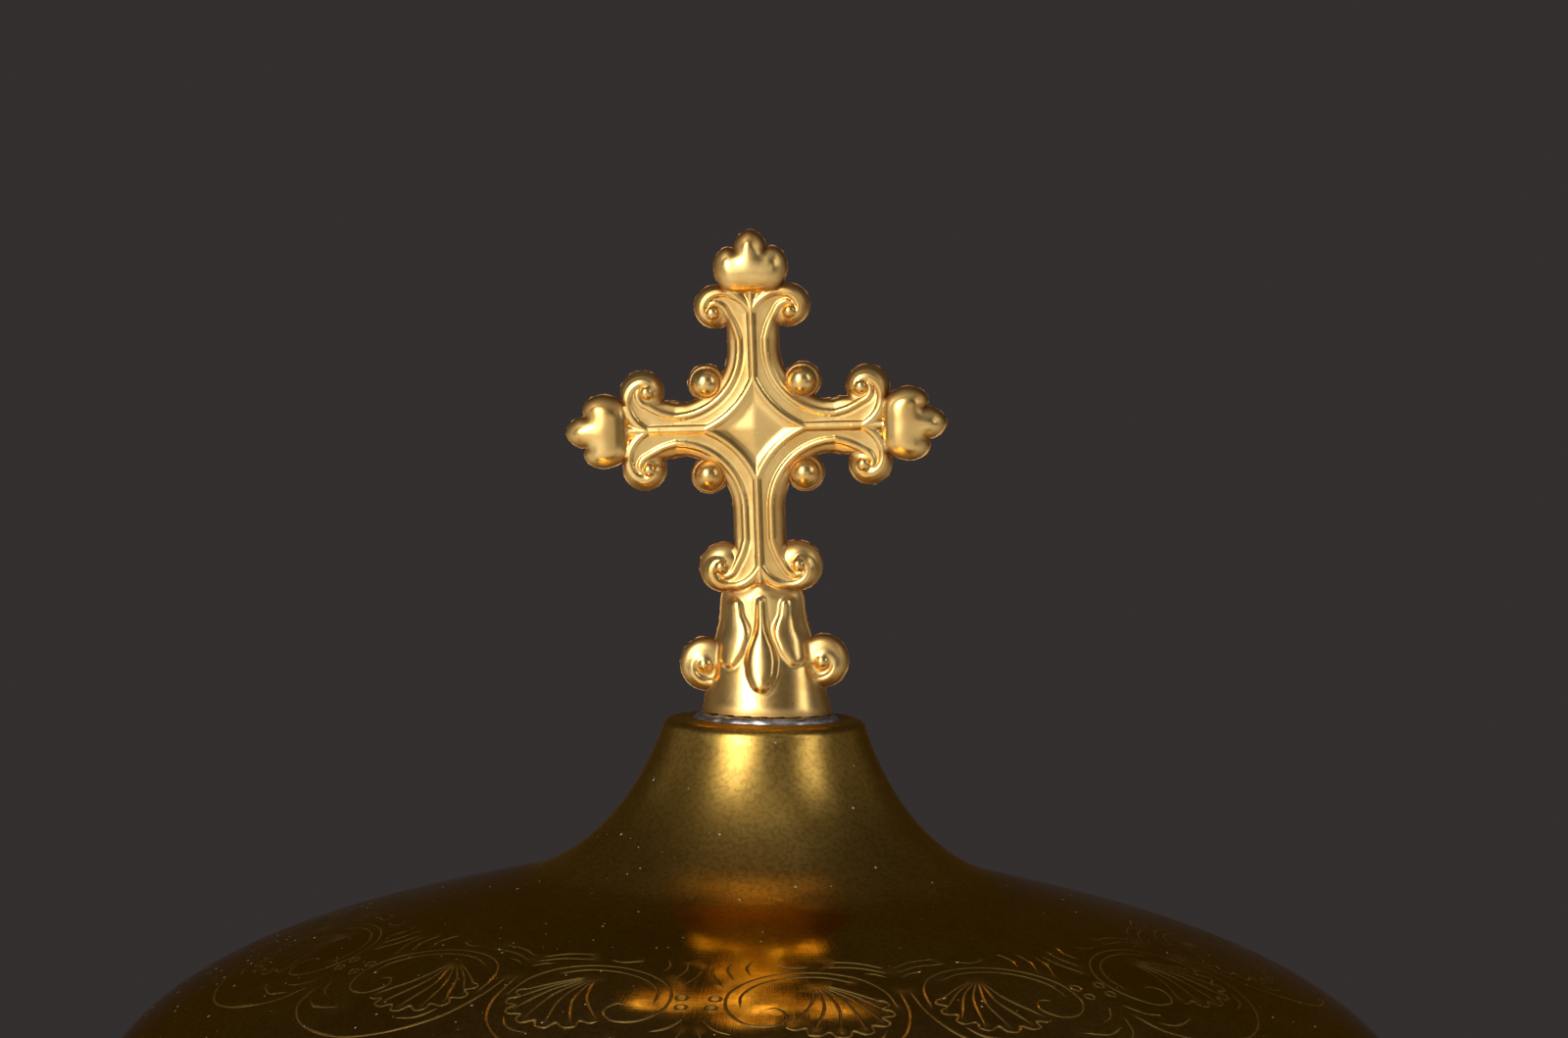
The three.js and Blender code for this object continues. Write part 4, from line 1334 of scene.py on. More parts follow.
@dataclass
class Lid:
    """The lid: a spun ogee shell on a moulded ring, with a bezel that drops into the bowl."""

    base: float = 190.5
    rim_height: float = 6.0
    rim_proud: float = 2.1
    bezel_depth: float = 6.0
    bezel: float = 58.55
    sheet: float = 1.0
    bore: float = 1.85
    joint: float = 0.06
    washer_radius: float = 4.6
    washer_drop: float = 0.9
    nut_drop: float = 3.5
    nut_width: float = 5.5
    nut_bore: float = 1.56
    stud_drop: float = 5.0
    stud_rise: float = 7.0
    stud_radius: float = 1.5
    stud_pitch: float = 0.5
    line: Ogee = field(
        default_factory=lambda: Ogee(
            top=238.3,
            radius=61.2,
            neck=9.2,
            taper=0.356,
            flare=(23.0, 14.7),
            slope=0.228,
            flare_pulls=(5.5, 8.4),
            shoulder_pulls=(20.6, 15.6),
            height=41.8,
        )
    )

    def rim(self) -> np.ndarray:
        """The outline of the moulding at the lid's edge.

        Returns:
            The closed outline.
        """
        inner, high = self.bezel + self.joint, self.base + self.rim_height
        edge = beaded(self.line.radius + self.rim_proud, self.base, high, self.rim_proud - 0.5)
        return eased([(inner, self.base), *edge, (inner, high)], 0.18)

    def sleeve(self) -> np.ndarray:
        """The outline of the bezel."""
        low, high, inner = self.base - self.bezel_depth, self.base + self.rim_height, self.bezel - self.sheet
        return eased([(inner, low), (self.bezel, low), (self.bezel, high), (inner, high)], 0.2)

    def build(self, lathe: Lathe, finish: SpunGilt, gilt: Material, brass: Material) -> None:
        """Builds and seats the lid's turned pieces and the fastenings of its cross.

        Args:
            lathe: What turns the outlines.
            finish: The shell's finish.
            gilt: The gilding of the rim and the bezel.
            brass: The fastenings' material.
        """
        seat(lathe.turn("lid_ring", self.rim(), WIDE, gilt), Body.LID, Slot.GILT, "lid_rim")
        seat(lathe.turn("lid_sleeve", self.sleeve(), WIDE, gilt), Body.LID, Slot.GILT, "lid_bezel")
        outline = self.line.shell(self.bore, self.sheet)
        shell = Engraving(self.line).cut(lathe, "lid_spinning", outline, finish.material())
        seat(shell, Body.LID, Slot.GILT, "lid_shell")
        under = self.line.top - self.sheet
        low, wide = under - self.washer_drop, self.washer_radius
        washer = eased([(self.bore, low), (wide, low), (wide, under), (self.bore, under)], 0.15)
        disc = lathe.turn("cross_washer_turned", washer, TINY, brass)
        seat(disc, Body.LID, Slot.BARE_BRASS, "cross_washer")
        nut = lathe.nut("cross_nut_cut", under - self.nut_drop, low, self.nut_width, self.nut_bore, brass)
        seat(nut, Body.LID, Slot.BARE_BRASS, "cross_nut")
        ends = under - self.stud_drop, under + self.stud_rise
        stud = lathe.rod("cross_stud_threaded", *ends, self.stud_radius, self.stud_pitch, brass)
        seat(stud, Body.LID, Slot.BARE_BRASS, "cross_stud")


# The cross


@dataclass
class Arm:
    """An arm's marks, from the cross's middle: its volutes' eyes and lobes, its bud and its tip."""

    eye: float
    lobe: float
    lobe_shift: float
    bud: float
    tip: float


@dataclass
class Cross:
    """The cross: two equal stampings, back to back, with their seam between them."""

    lid_top: float = 238.3
    centre: float = 26.3
    lean: float = 2.95
    turn: float = 5.0
    shift: float = 0.2
    pitch: float = 0.078
    half_width: float = 2.3
    corner: float = 7.23
    bead_offset: float = 1.19
    star_reach: float = 4.5
    star_waist: float = 1.8
    eye_offset: float = 3.48
    pearl: tuple[float, float] = (4.32, 4.15)
    side: Arm = field(default_factory=lambda: Arm(9.65, 1.95, 0.52, 13.76, 17.15))
    top: Arm = field(default_factory=lambda: Arm(10.45, 1.93, 0.5, 14.3, 17.8))
    low: Arm = field(default_factory=lambda: Arm(12.4, 2.25, 0.1, 0.0, 0.0))
    seam: float = 0.1
    wall: float = 0.5

    def curl(self, reach: float) -> tuple[np.ndarray, np.ndarray]:
        """One volute of a side arm: its ridge and its bead, both from their inner ends to the arm.

        Args:
            reach: Where its eye lies along the arm.

        Returns:
            The ridge's and the bead's points.
        """
        turned = np.linspace(4.3, 0, 48)
        radius = self.eye_offset * np.exp(-0.5 * turned)
        angle = turned - math.pi / 2
        ridge = np.column_stack([reach + radius * np.cos(angle), self.eye_offset + radius * np.sin(angle)])
        marks = [(0.75, 25), (0.9, -20), (1.1, -60), (1.41, -97), (2.28, -122), (3.3, -136)]
        bead = []
        for out, degrees in marks:
            at = math.radians(degrees)
            bead.append((reach + out * math.cos(at), self.eye_offset + out * math.sin(at)))
        return ridge, smooth_line(bead, 5)

    def band(self, arm: Arm) -> tuple[np.ndarray, np.ndarray]:
        """The scroll band between the side arm and another arm: its ridge and its bead.

        Args:
            arm: The top or the low arm, taken as if it pointed up.

        Returns:
            The ridge's and the bead's points, in the corner right of and above the middle.
        """
        side_ridge, side_bead = self.curl(self.side.eye)
        far_ridge, far_bead = (line[::-1, ::-1] for line in self.curl(arm.eye))
        t = np.linspace(0, 1, 16)[:, None]
        waist = self.star_waist * 2 - self.star_reach / 2
        reach = self.star_reach
        star = np.array([reach, 0]) * (1 - t) ** 2 + 2 * waist * t * (1 - t) + np.array([0, reach]) * t**2
        angle = np.linspace(0, math.pi / 2, 24)
        radius = self.corner - self.bead_offset
        arc = np.column_stack([self.corner - radius * np.sin(angle), self.corner - radius * np.cos(angle)])
        side_bead = side_bead[side_bead[:, 0] > self.corner + 0.1]
        far_bead = far_bead[far_bead[:, 1] > self.corner + 0.1]
        return np.vstack([side_ridge, star, far_ridge]), np.vstack([side_bead, arc, far_bead])

    def lobes(self, arm: Arm) -> list[tuple[float, float, float]]:
        """The rolls of the volutes next to the side arm and the other arm: their places and radii."""
        beside = (self.side.eye + self.side.lobe_shift, self.eye_offset - 0.04, self.side.lobe)
        return [beside, (self.eye_offset - 0.2, arm.eye + arm.lobe_shift, arm.lobe)]

    def plate(self, x: np.ndarray, y: np.ndarray) -> np.ndarray:
        """How far inside the arms' plate each place lies, on the right of the middle.

        Args:
            x: Places across.
            y: Places up.

        Returns:
            The distance inside, negative outside.
        """
        up = np.abs(y)
        beyond = np.where(y > 0, self.top.bud, self.low.eye + 1.5)
        wide = self.half_width + 0.3 * np.clip((x - 6.2) / 1.2, 0, 1)
        corner = np.hypot(x - self.corner, up - self.corner) - (self.corner - wide)
        along_side = np.minimum(wide - up, self.side.bud - x)
        along_up = np.minimum(self.half_width - x, beyond - up)
        inner = (x < self.corner) & (up < self.corner)
        return np.where(inner, corner, np.maximum(along_side, along_up))

    def bud(self, points: np.ndarray, arm: Arm) -> np.ndarray:
        """How far inside a bud of three lobes each place lies, for an arm that points along X.

        Args:
            points: Places along and across the arm.
            arm: The arm's sizes.

        Returns:
            The distance inside, negative outside.
        """
        lobe = [(-0.7, 0), (-0.7, 0.7), (-0.68, 1.4), (-0.5, 2.15), (0.1, 2.85), (0.95, 3.22), (1.75, 3.32)]
        lobe += [(2.55, 3.14), (3.15, 2.72), (3.44, 2.2), (3.44, 1.78), (3.2, 1.42)]
        tip = [(3.2, 1.42), (3.75, 1.4), (4.3, 1.13), (4.72, 0.73), (4.95, 0.32), (5.02, 0)]
        half = np.vstack([smooth_line(lobe, 5), smooth_line(tip, 5)]) + np.array([arm.tip - 5.02, 0])
        outline = np.vstack([half, half[-2:0:-1] * np.array([1, -1])])
        apart = distance_to(points, np.vstack([outline, outline[:1]]))
        return np.where(within(points, outline), apart, -apart)

    @staticmethod
    def crest(apart: np.ndarray, half: float, proud: float) -> np.ndarray:
        """The height of a ridge with a slightly rounded crest, at a distance from its line."""
        return proud * np.clip(1 - (np.sqrt(apart**2 + 0.0049) - 0.07) / half, 0, 1)

    @staticmethod
    def dome(
        x: np.ndarray, y: np.ndarray, middle: tuple[float, float], sizes: tuple[float, float]
    ) -> np.ndarray:
        """The height of a dome of height 1 on an oval, below 0 outside of it."""
        apart = np.hypot((x - middle[0]) / sizes[0], (y - middle[1]) / sizes[1])
        return np.where(apart < 1, np.sqrt(np.clip(1 - apart**2, 0, None)), 1 - apart)

    def foot_size(self, y: np.ndarray) -> tuple[np.ndarray, np.ndarray]:
        """The foot's half width and half depth at heights measured from the lid.

        Args:
            y: The heights.

        Returns:
            The half widths and the half depths.
        """
        levels = (-0.9, 0.4, 1.2, 2.5, 4.9, 7.4, 9.1, 11.6, 14.4)
        widths = (6.1, 5.9, 5.7, 5.4, 4.85, 4.35, 3.9, 3.6, 2.4)
        depths = (4.8, 4.4, 4.15, 3.72, 3.0, 2.35, 2.0, 1.8, 1.4)
        width, depth = (smooth_line(list(zip(levels, sizes)), 6).T for sizes in (widths, depths))
        return np.interp(y, *width), np.interp(y, *depth)

    def relief(self, x: np.ndarray, y: np.ndarray) -> tuple[np.ndarray, np.ndarray, np.ndarray]:
        """The stamping's relief on the right of the middle.

        Args:
            x: Places across, from the middle, all 0 or more.
            y: Places up, from the middle.

        Returns:
            The height above the seam, how far inside the outline each place lies, and how far
            inside a bud.
        """
        points = np.column_stack([x, y])
        height, bands = self.scrolls(points)
        inside = np.maximum(self.plate(x, y), bands)
        for arm, up in ((self.top, 1), (self.low, -1)):
            for across, along, radius in self.lobes(arm):
                lobe = radius - np.hypot(x - across, y - up * along)
                inside = np.maximum(inside, lobe)
            lobe = 1.66 - np.hypot(x - self.pearl[0], y - up * self.pearl[1])
            inside = np.maximum(inside, lobe)
        lower = -self.centre
        half_width, half_depth = self.foot_size(y - lower)
        crown = -13.9 - 0.6 * (1 - np.exp(-((x / 1.2) ** 2))) - y
        foot = np.minimum(half_width - x, crown)
        ear = 2.35 * (1 - np.hypot((x - 5.35) / 2.25, (y - lower - 5.15) / 2.4))
        joint = np.minimum(np.minimum(2.8 - x, -12.4 - y), y + 15.4)
        inside = np.maximum(np.maximum(inside, foot), np.maximum(ear, joint))
        bud = np.maximum(self.bud(points, self.side), self.bud(points[:, ::-1], self.top))
        inside = np.maximum(inside, bud)
        curve = np.sqrt(np.clip(1 - (x / half_width) ** 2, 0, 1))
        swell = np.sqrt(np.clip(1 - (1 - np.clip(crown / 1.3, 0, 1)) ** 2, 0, 1))
        body = np.where(foot > 0, half_depth * curve * (0.66 + 0.34 * swell), 0)
        neck = np.clip((2.9 - x) / 1.2, 0, 1) * np.clip((-12.6 - y) / 0.5, 0, 1)
        neck = neck * np.clip((y + 16.2) / 1.2, 0, 1)
        height = np.maximum(np.where(foot > 0, np.maximum(body, 0.5), height), 1.28 * neck)
        height = self.foot_relief(x, y - lower, height)
        rounding = np.sqrt(np.clip(1 - (1 - np.clip(inside / 0.4, 0, 1)) ** 2, 0, 1))
        height = self.wall + np.maximum(height - self.wall, 0) * rounding
        swell, dome = (np.sqrt(np.clip(1 - (1 - np.clip(bud / run, 0, 1)) ** 2, 0, 1)) for run in (1.0, 3.1))
        height = np.where(bud > 0, np.maximum(height, 0.7 + 0.85 * swell + 0.85 * dome), height)
        return height, inside, bud

    def scrolls(self, points: np.ndarray) -> tuple[np.ndarray, np.ndarray]:
        """The bands, the star, the volutes and the pearls.

        Args:
            points: Places from the middle, on its right.

        Returns:
            Their heights, and how far inside the bands' outline each place lies.
        """
        height, bands = np.full(len(points), 0.55), np.full(len(points), -9.0)
        for arm, up in ((self.top, 1), (self.low, -1)):
            mine = points * np.array([1, up])
            x, y = mine.T
            for across, along, radius in self.lobes(arm):
                roll = self.dome(x, y, (across, along), (radius, radius))
                roll = 0.5 + 0.85 * (1 - np.clip(1 - np.clip(roll, 0, 1) ** 2, 0, 1) ** 1.6)
                height = np.maximum(height, roll)
            apart = np.hypot(x - self.pearl[0], y - self.pearl[1])
            pearl = self.dome(x, y, self.pearl, (1.33, 1.33))
            raised = np.maximum(height, 0.85 + self.crest(apart - 1.48, 0.18, 0.1))
            height = np.where(apart < 1.66, raised, height)
            height = np.where(pearl > 0, np.maximum(height, 0.8 + 1.3 * pearl), height)
            ridge, bead = self.band(arm)
            near = (y > -1.5) & (x < 13.5) & (y < arm.eye + 3.5)
            to_ridge, to_bead = np.full(len(mine), 9.0), np.full(len(mine), 9.0)
            to_ridge[near] = distance_to(mine[near], ridge)
            to_bead[near] = distance_to(mine[near], bead)
            channel = within(mine, np.vstack([ridge, bead[::-1]]))
            edge = np.minimum(to_ridge, to_bead)
            bands = np.maximum(bands, 0.42 + np.where(channel, edge, -edge))
            flange = np.interp(to_bead, [0.12, 0.4, 0.95, 1.2], [1.4, 1.2, 1.0, 0.5])
            flank = np.interp(to_ridge, [0.3, 0.7, 1.15], [1.53, 1.2, 0.5])
            height = np.where(channel, height, np.maximum(height, np.maximum(flange, flank)))
            share = to_ridge / np.maximum(to_ridge + to_bead, 1e-6)
            height = np.where(channel, 1.30 + 0.14 * (1 - share) ** 2.5 + 0.05 * share**3, height)
            reach = self.star_reach + 0.2
            star = (x + y < reach) & (y >= 0) & ~channel & (np.hypot(x, y) < reach)
            dish = np.interp(to_ridge, [0.3, 0.95, 1.08, 2.8], [1.45, 1.28, 1.32, 1.5])
            height = np.where(star, dish, height)
            height = np.maximum(height, np.where(to_bead < 0.27, 1.36 + self.crest(to_bead, 0.27, 0.1), 0))
            height -= self.crest(to_bead - 0.4, 0.12, 0.025) * channel
            height = np.maximum(height, np.where(to_ridge < 0.34, 1.43 + self.crest(to_ridge, 0.34, 0.15), 0))
            for middle in ((self.side.eye, self.eye_offset), (self.eye_offset, arm.eye)):
                eye = self.dome(x, y, middle, (0.6, 0.6))
                height = np.where(eye > 0, np.maximum(1.45 + 0.45 * eye, height), height)
        spine_side = distance_to(points, np.array([(self.side.eye - 1, 0), (12.6, 0)]))
        spine_top = distance_to(points, np.array([(0, self.top.eye - 1), (0, 13.2)]))
        spine_low = distance_to(points, np.array([(0, -self.low.eye + 1), (0, -14.2)]))
        spine = np.minimum(np.minimum(spine_side, spine_top), spine_low)
        beside = np.interp(spine, [0.4, 1.3], [1.4, 0.6])
        spine = np.where(spine < 0.34, 1.43 + self.crest(spine, 0.34, 0.16), beside)
        return np.maximum(height, spine), bands

    def foot_relief(self, x: np.ndarray, up: np.ndarray, height: np.ndarray) -> np.ndarray:
        """Adds the drop, the leaves and the side volutes to the foot's heights.

        Args:
            x: Places across from the cross's middle line.
            up: Places up from the cross's foot.
            height: The height there so far.

        Returns:
            The height with the foot's relief.
        """
        points = np.column_stack([x, up])

        def leaf(line: Line, widths: list[float], proud: float, run: float) -> np.ndarray:
            """A leaf along a line as an addition to the height, with a fine groove round it.

            Args:
                line: The leaf's middle line.
                widths: Its half widths along the line.
                proud: How far it stands out.
                run: How far in its dome rises.

            Returns:
                The addition at each place.
            """
            curve = smooth_line(line, 8)
            width = np.interp(np.linspace(0, 1, len(curve)), np.linspace(0, 1, len(widths)), widths)
            rounds = [np.hypot(x - mid[0], up - mid[1]) - half for mid, half in zip(curve, width)]
            gap = np.min(rounds, axis=0)
            edge, dome = (1 - (1 - np.clip(-gap / reach, 0, 1)) ** 2 for reach in (0.4, run))
            rise = proud * (0.6 * edge + 0.4 * dome)
            return np.where(gap < 0, rise, -self.crest(gap - 0.1, 0.25, 0.04))

        neck = [1.0, 1.34, 1.44, 1.3, 0.95, 0.6, 0.48, 0.42, 0.36]
        side = [0.75, 0.85, 1.2, 1.25, 0.95]
        parts = [
            leaf([(0, 3.7), (0, 5.4), (0, 7.2), (0, 9.0), (0, 10.8)], neck, 0.6, 1.3),
            leaf([(2.4, 10.4), (2.35, 9.3), (2.2, 8.0), (2.65, 6.9), (3.1, 5.8)], side, 0.4, 1.1),
        ]
        raised, sunk = np.max(parts, axis=0), np.min(parts, axis=0)
        proud = np.where(raised > 0, raised, sunk)
        height = height + proud * np.clip((12.0 - up) / 0.6, 0, 1)
        ear = self.dome(x, up, (5.35, 5.15), (2.25, 2.4))
        disc = np.where(ear > 0, np.maximum(height, 0.85 + 0.68 * ear), height)
        turned = np.linspace(0, 4.5, 50)
        radius = 1.95 * np.exp(-0.148 * turned - 0.028 * turned**2)
        angle = math.radians(207) + turned
        ridge = np.column_stack([5.3 + radius * np.cos(angle), 5.15 + radius * np.sin(angle)])
        to_ridge = distance_to(points, ridge)
        curled = within(points, ridge) & (disc < 1.7)
        disc = np.where(curled, np.minimum(disc, 1.25), disc)
        rolled = (to_ridge < 0.35) & (ear > -0.05)
        disc = np.maximum(disc, np.where(rolled, 1.42 + self.crest(to_ridge, 0.35, 0.16), 0))
        eye = self.dome(x, up, (5.3, 5.15), (0.65, 0.65))
        return np.where(eye > 0, np.maximum(disc, 1.35 + 0.5 * eye), disc)

    def field(self) -> tuple[np.ndarray, np.ndarray, np.ndarray, np.ndarray]:
        """The whole stamping on a grid.

        Returns:
            The places across and up, the heights, and how far inside the outline each place lies.
        """
        right = np.arange(0, 18.6, self.pitch)
        up = np.arange(-26.9, 18.9, self.pitch)
        x, y = np.meshgrid(right, up, indexing="ij")
        parts = [part.reshape(x.shape) for part in self.relief(x.ravel(), y.ravel())]
        height, inside, bud = (np.vstack([part[:0:-1], part]) for part in parts)
        x, y = np.meshgrid(np.concatenate([-right[:0:-1], right]), up, indexing="ij")
        height = height + (self.softened(height, 56) - height) * np.clip(bud / 0.8, 0, 1)
        foot = np.clip((-14.0 - y) / 0.5, 0, 1) * np.clip(inside / 0.4, 0, 1)
        height = height + (self.softened(height, 7) - height) * foot
        level = 0.55 - self.centre - x * math.tan(math.radians(self.lean))
        inside = np.minimum(inside, y - level)
        star = np.clip(3.2 - np.abs(x) - np.abs(y), 0, 1)
        height = height + (self.softened(height, 18) - height) * star
        height = height + 0.004 * ripples(x, y, 2.2, 3) * np.clip(inside / 0.6, 0, 1)
        return x, y, height, inside

    @staticmethod
    def softened(height: np.ndarray, times: int) -> np.ndarray:
        """The heights after each has been levelled with its neighbours some times over."""
        for _ in range(times):
            wide = np.pad(height, 1, mode="edge")
            height = (wide[2:, 1:-1] + wide[:-2, 1:-1] + wide[1:-1, 2:] + wide[1:-1, :-2]) / 4
        return height

    def stamping(self) -> tuple[np.ndarray, list, np.ndarray]:
        """The mesh of one stamping about the cross's middle, its face towards -Y.

        Returns:
            The points, the faces, and how hollow the place of each point is, a mark that the gilding paints
            as copper red and painted shade.
        """
        x, y, height, inside = self.field()
        kept = inside > -0.5 * self.pitch
        cells = kept[:-1, :-1] & kept[1:, :-1] & kept[:-1, 1:] & kept[1:, 1:]
        count = np.zeros(x.shape, int)
        for i, j in ((0, 0), (1, 0), (0, 1), (1, 1)):
            count[i : i + cells.shape[0], j : j + cells.shape[1]] += cells
        used, edge = count > 0, (count > 0) & (count < 4)
        slope_x, slope_y = np.gradient(inside, self.pitch)
        steep = np.maximum(slope_x**2 + slope_y**2, 0.3)
        step = np.clip(inside / steep, -self.pitch, self.pitch)
        x, y = np.where(edge, x - step * slope_x, x), np.where(edge, y - step * slope_y, y)
        height = np.where(edge, self.wall, height)
        # The hollow mark: partly the copper of thin gilding, partly painted shade, strongest where a place
        # lies below its neighbours, on the foot's upper panel, on the flange along the outline and on the
        # walls
        around = self.softened(height, 21)
        panel = np.clip((-13.8 - y) / 0.8, 0, 1) * np.clip((y + 22.5) / 2.5, 0, 1)
        hollow = np.clip((around - height - 0.05 + 0.1 * panel) / 0.25, 0, 1)
        hollow = hollow + np.clip(1.3 - inside / 0.9, 0, 1) * 0.9
        index = np.full(x.shape, -1)
        index[used] = np.arange(used.sum())
        points = np.column_stack([x[used], -height[used], y[used]])
        i, j = np.nonzero(cells)
        quads = np.column_stack([index[i, j], index[i + 1, j], index[i + 1, j + 1], index[i, j + 1]])
        rim = self.border(quads)
        low = points[rim] * np.array([1, 0, 1]) + np.array([0, -self.seam, 0])
        first = len(points)
        walls = [
            (rim[k], rim[k - 1], first + (k - 1) % len(rim), first + k) for k in range(len(rim))
        ]
        faces = [*quads.tolist(), *walls, list(range(first, first + len(rim)))]
        return np.vstack([points, low]), faces, np.concatenate([hollow[used], np.ones(len(rim))])

    @staticmethod
    def border(quads: np.ndarray) -> list[int]:
        """The longest closed run of edges that only one quad has, in order.

        Args:
            quads: The corners of each quad.

        Returns:
            The run's corners.
        """
        following: dict[int, int] = {}
        pairs = {(a, b) for quad in quads.tolist() for a, b in zip(quad, [*quad[1:], quad[0]])}
        for a, b in pairs:
            if (b, a) not in pairs:
                following[a] = b
        runs = []
        while following:
            start, here = next(iter(following.items()))
            run = [start]
            del following[start]
            while here != start and here in following:
                run.append(here)
                here = following.pop(here)
            runs.append(run)
        return max(runs, key=len)

    def matrix(self, half_turn: bool) -> Matrix:
        """Where a stamping stands on the lid.

        Args:
            half_turn: Whether it is the back one.

        Returns:
            Its place in metres.
        """
        place = Matrix.Translation(Vector((self.shift, 0, self.lid_top)))
        lean = Matrix.Rotation(-math.radians(self.lean), 4, "Y")
        turn = Matrix.Rotation(-math.radians(self.turn) + (math.pi if half_turn else 0), 4, "Z")
        scale = Matrix.Scale(MM, 4)
        return scale @ place @ lean @ turn @ Matrix.Translation(Vector((0, 0, self.centre)))

    def fin(self) -> tuple[np.ndarray, list]:
        """The ragged seam of solder and thin metal between the stampings, a plate a little proud.

        Returns:
            The points and the faces.
        """
        x, y, _, inside = self.field()
        ragged = 0.03 + 0.05 * ripples(x, y, 0.9, 8) + 0.03 * ripples(x, y, 0.35, 9)
        inside = inside + np.clip(ragged, 0.0, 0.16)
        kept = inside > -0.5 * self.pitch
        cells = kept[:-1, :-1] & kept[1:, :-1] & kept[:-1, 1:] & kept[1:, 1:]
        index = np.arange(x.size).reshape(x.shape)
        i, j = np.nonzero(cells)
        quads = np.column_stack([index[i, j], index[i + 1, j], index[i + 1, j + 1], index[i, j + 1]])
        rim = np.array(self.border(quads))
        slope_x, slope_y = np.gradient(inside, self.pitch)
        steep = np.maximum(slope_x**2 + slope_y**2, 0.3).ravel()[rim]
        step = np.clip(inside.ravel()[rim] / steep, -self.pitch, self.pitch)
        across = x.ravel()[rim] - step * slope_x.ravel()[rim]
        up = y.ravel()[rim] - step * slope_y.ravel()[rim]
        half = self.seam * 0.95
        front = np.column_stack([across, np.full(len(rim), -half), up])
        back = front * np.array([1, -1, 1])
        count = len(rim)
        walls = [(k, (k - 1) % count, count + (k - 1) % count, count + k) for k in range(count)]
        ends = [list(range(count)), list(range(2 * count - 1, count - 1, -1))]
        return np.vstack([front, back]), [*walls, *ends]

    def pad(self) -> tuple[np.ndarray, list]:
        """The solder under the cross, an uneven oval that wets its foot.

        Returns:
            The points about the lid's top, and the faces.
        """
        count = 180
        angle = np.linspace(0, math.tau, count, endpoint=False)
        turned = np.column_stack([np.cos(angle), np.sin(angle)])
        wave = ripples(turned[:, 0] * 6, turned[:, 1] * 5, 2.4, 5)
        rise = ripples(turned[:, 0] * 6, turned[:, 1] * 5, 1.5, 6)
        rim = turned * np.array([6.5, 5.0]) * (1 + 0.02 * wave[:, None])
        profile = [(0.80, 0.50, 0.0), (0.88, 0.55, 0.05), (0.92, 0.5, 0.07)]
        profile += [(0.95, 0.42, 0.07), (0.97, 0.3, 0.06)]
        profile += [(0.985, 0.17, 0.04), (0.995, 0.07, 0.01), (1.0, 0.0, 0.0)]
        bore = turned * 1.85
        rings = [np.column_stack([bore, np.full(count, z)]) for z in (0.0, 0.5)]
        rings += [np.column_stack([rim * share, z + uneven * rise]) for share, z, uneven in profile]
        faces = []
        for k in range(len(rings)):
            low, high = k * count, (k + 1) % len(rings) * count
            for i in range(count):
                after = (i + 1) % count
                faces.append((low + i, low + after, high + after, high + i))
        return np.vstack(rings), faces

    def build(self, gilt: Material, copper: Material, solder: Material) -> None:
        """Builds and seats the stampings, their seam and the solder under them.

        Args:
            gilt: The stampings' gilding.
            copper: The seam's thin red metal.
            solder: The solder.
        """
        points, faces = self.pad()
        pad = new_object("cross_solder_run", points, [], faces)
        pad.data.transform(Matrix.Scale(MM, 4) @ Matrix.Translation(Vector((self.shift, 0, self.lid_top))))
        pad.data.transform(Matrix.Rotation(-math.radians(self.turn), 4, "Z"))
        self.dress(pad, solder)
        seat(pad, Body.LID, Slot.SOLDER, "cross_solder")
        points, faces, hollow = self.stamping()
        for name in ("front", "back"):
            obj = new_object(f"cross_stamping_{name}", points, [], faces)
            obj.data.transform(self.matrix(name == "back"))
            # The hollow mark: copper red of thin gilding and painted shade in the stamping's recesses and
            # along its outline
            mark = obj.data.attributes.new("hollow", "FLOAT", "POINT")
            mark.data.foreach_set("value", hollow)
            self.dress(obj, gilt)
            seat(obj, Body.LID, Slot.GILT_BRIGHT, f"cross_{name}")
        points, faces = self.fin()
        seam = new_object("cross_seam", points, [], faces)
        seam.data.transform(self.matrix(False))
        self.dress(seam, copper)
        seat(seam, Body.LID, Slot.GILT_BRIGHT)

    @staticmethod
    def dress(obj: Object, material: Material) -> None:
        """Gives a mesh its material, smooth faces and crisp corners.

        Args:
            obj: The object.
            material: Its finish.
        """
        face_out(obj.data)
        obj.data.materials.append(material)
        obj.data.polygons.foreach_set("use_smooth", [True] * len(obj.data.polygons))
        obj.data.set_sharp_from_angle(angle=math.radians(55))


# The studio


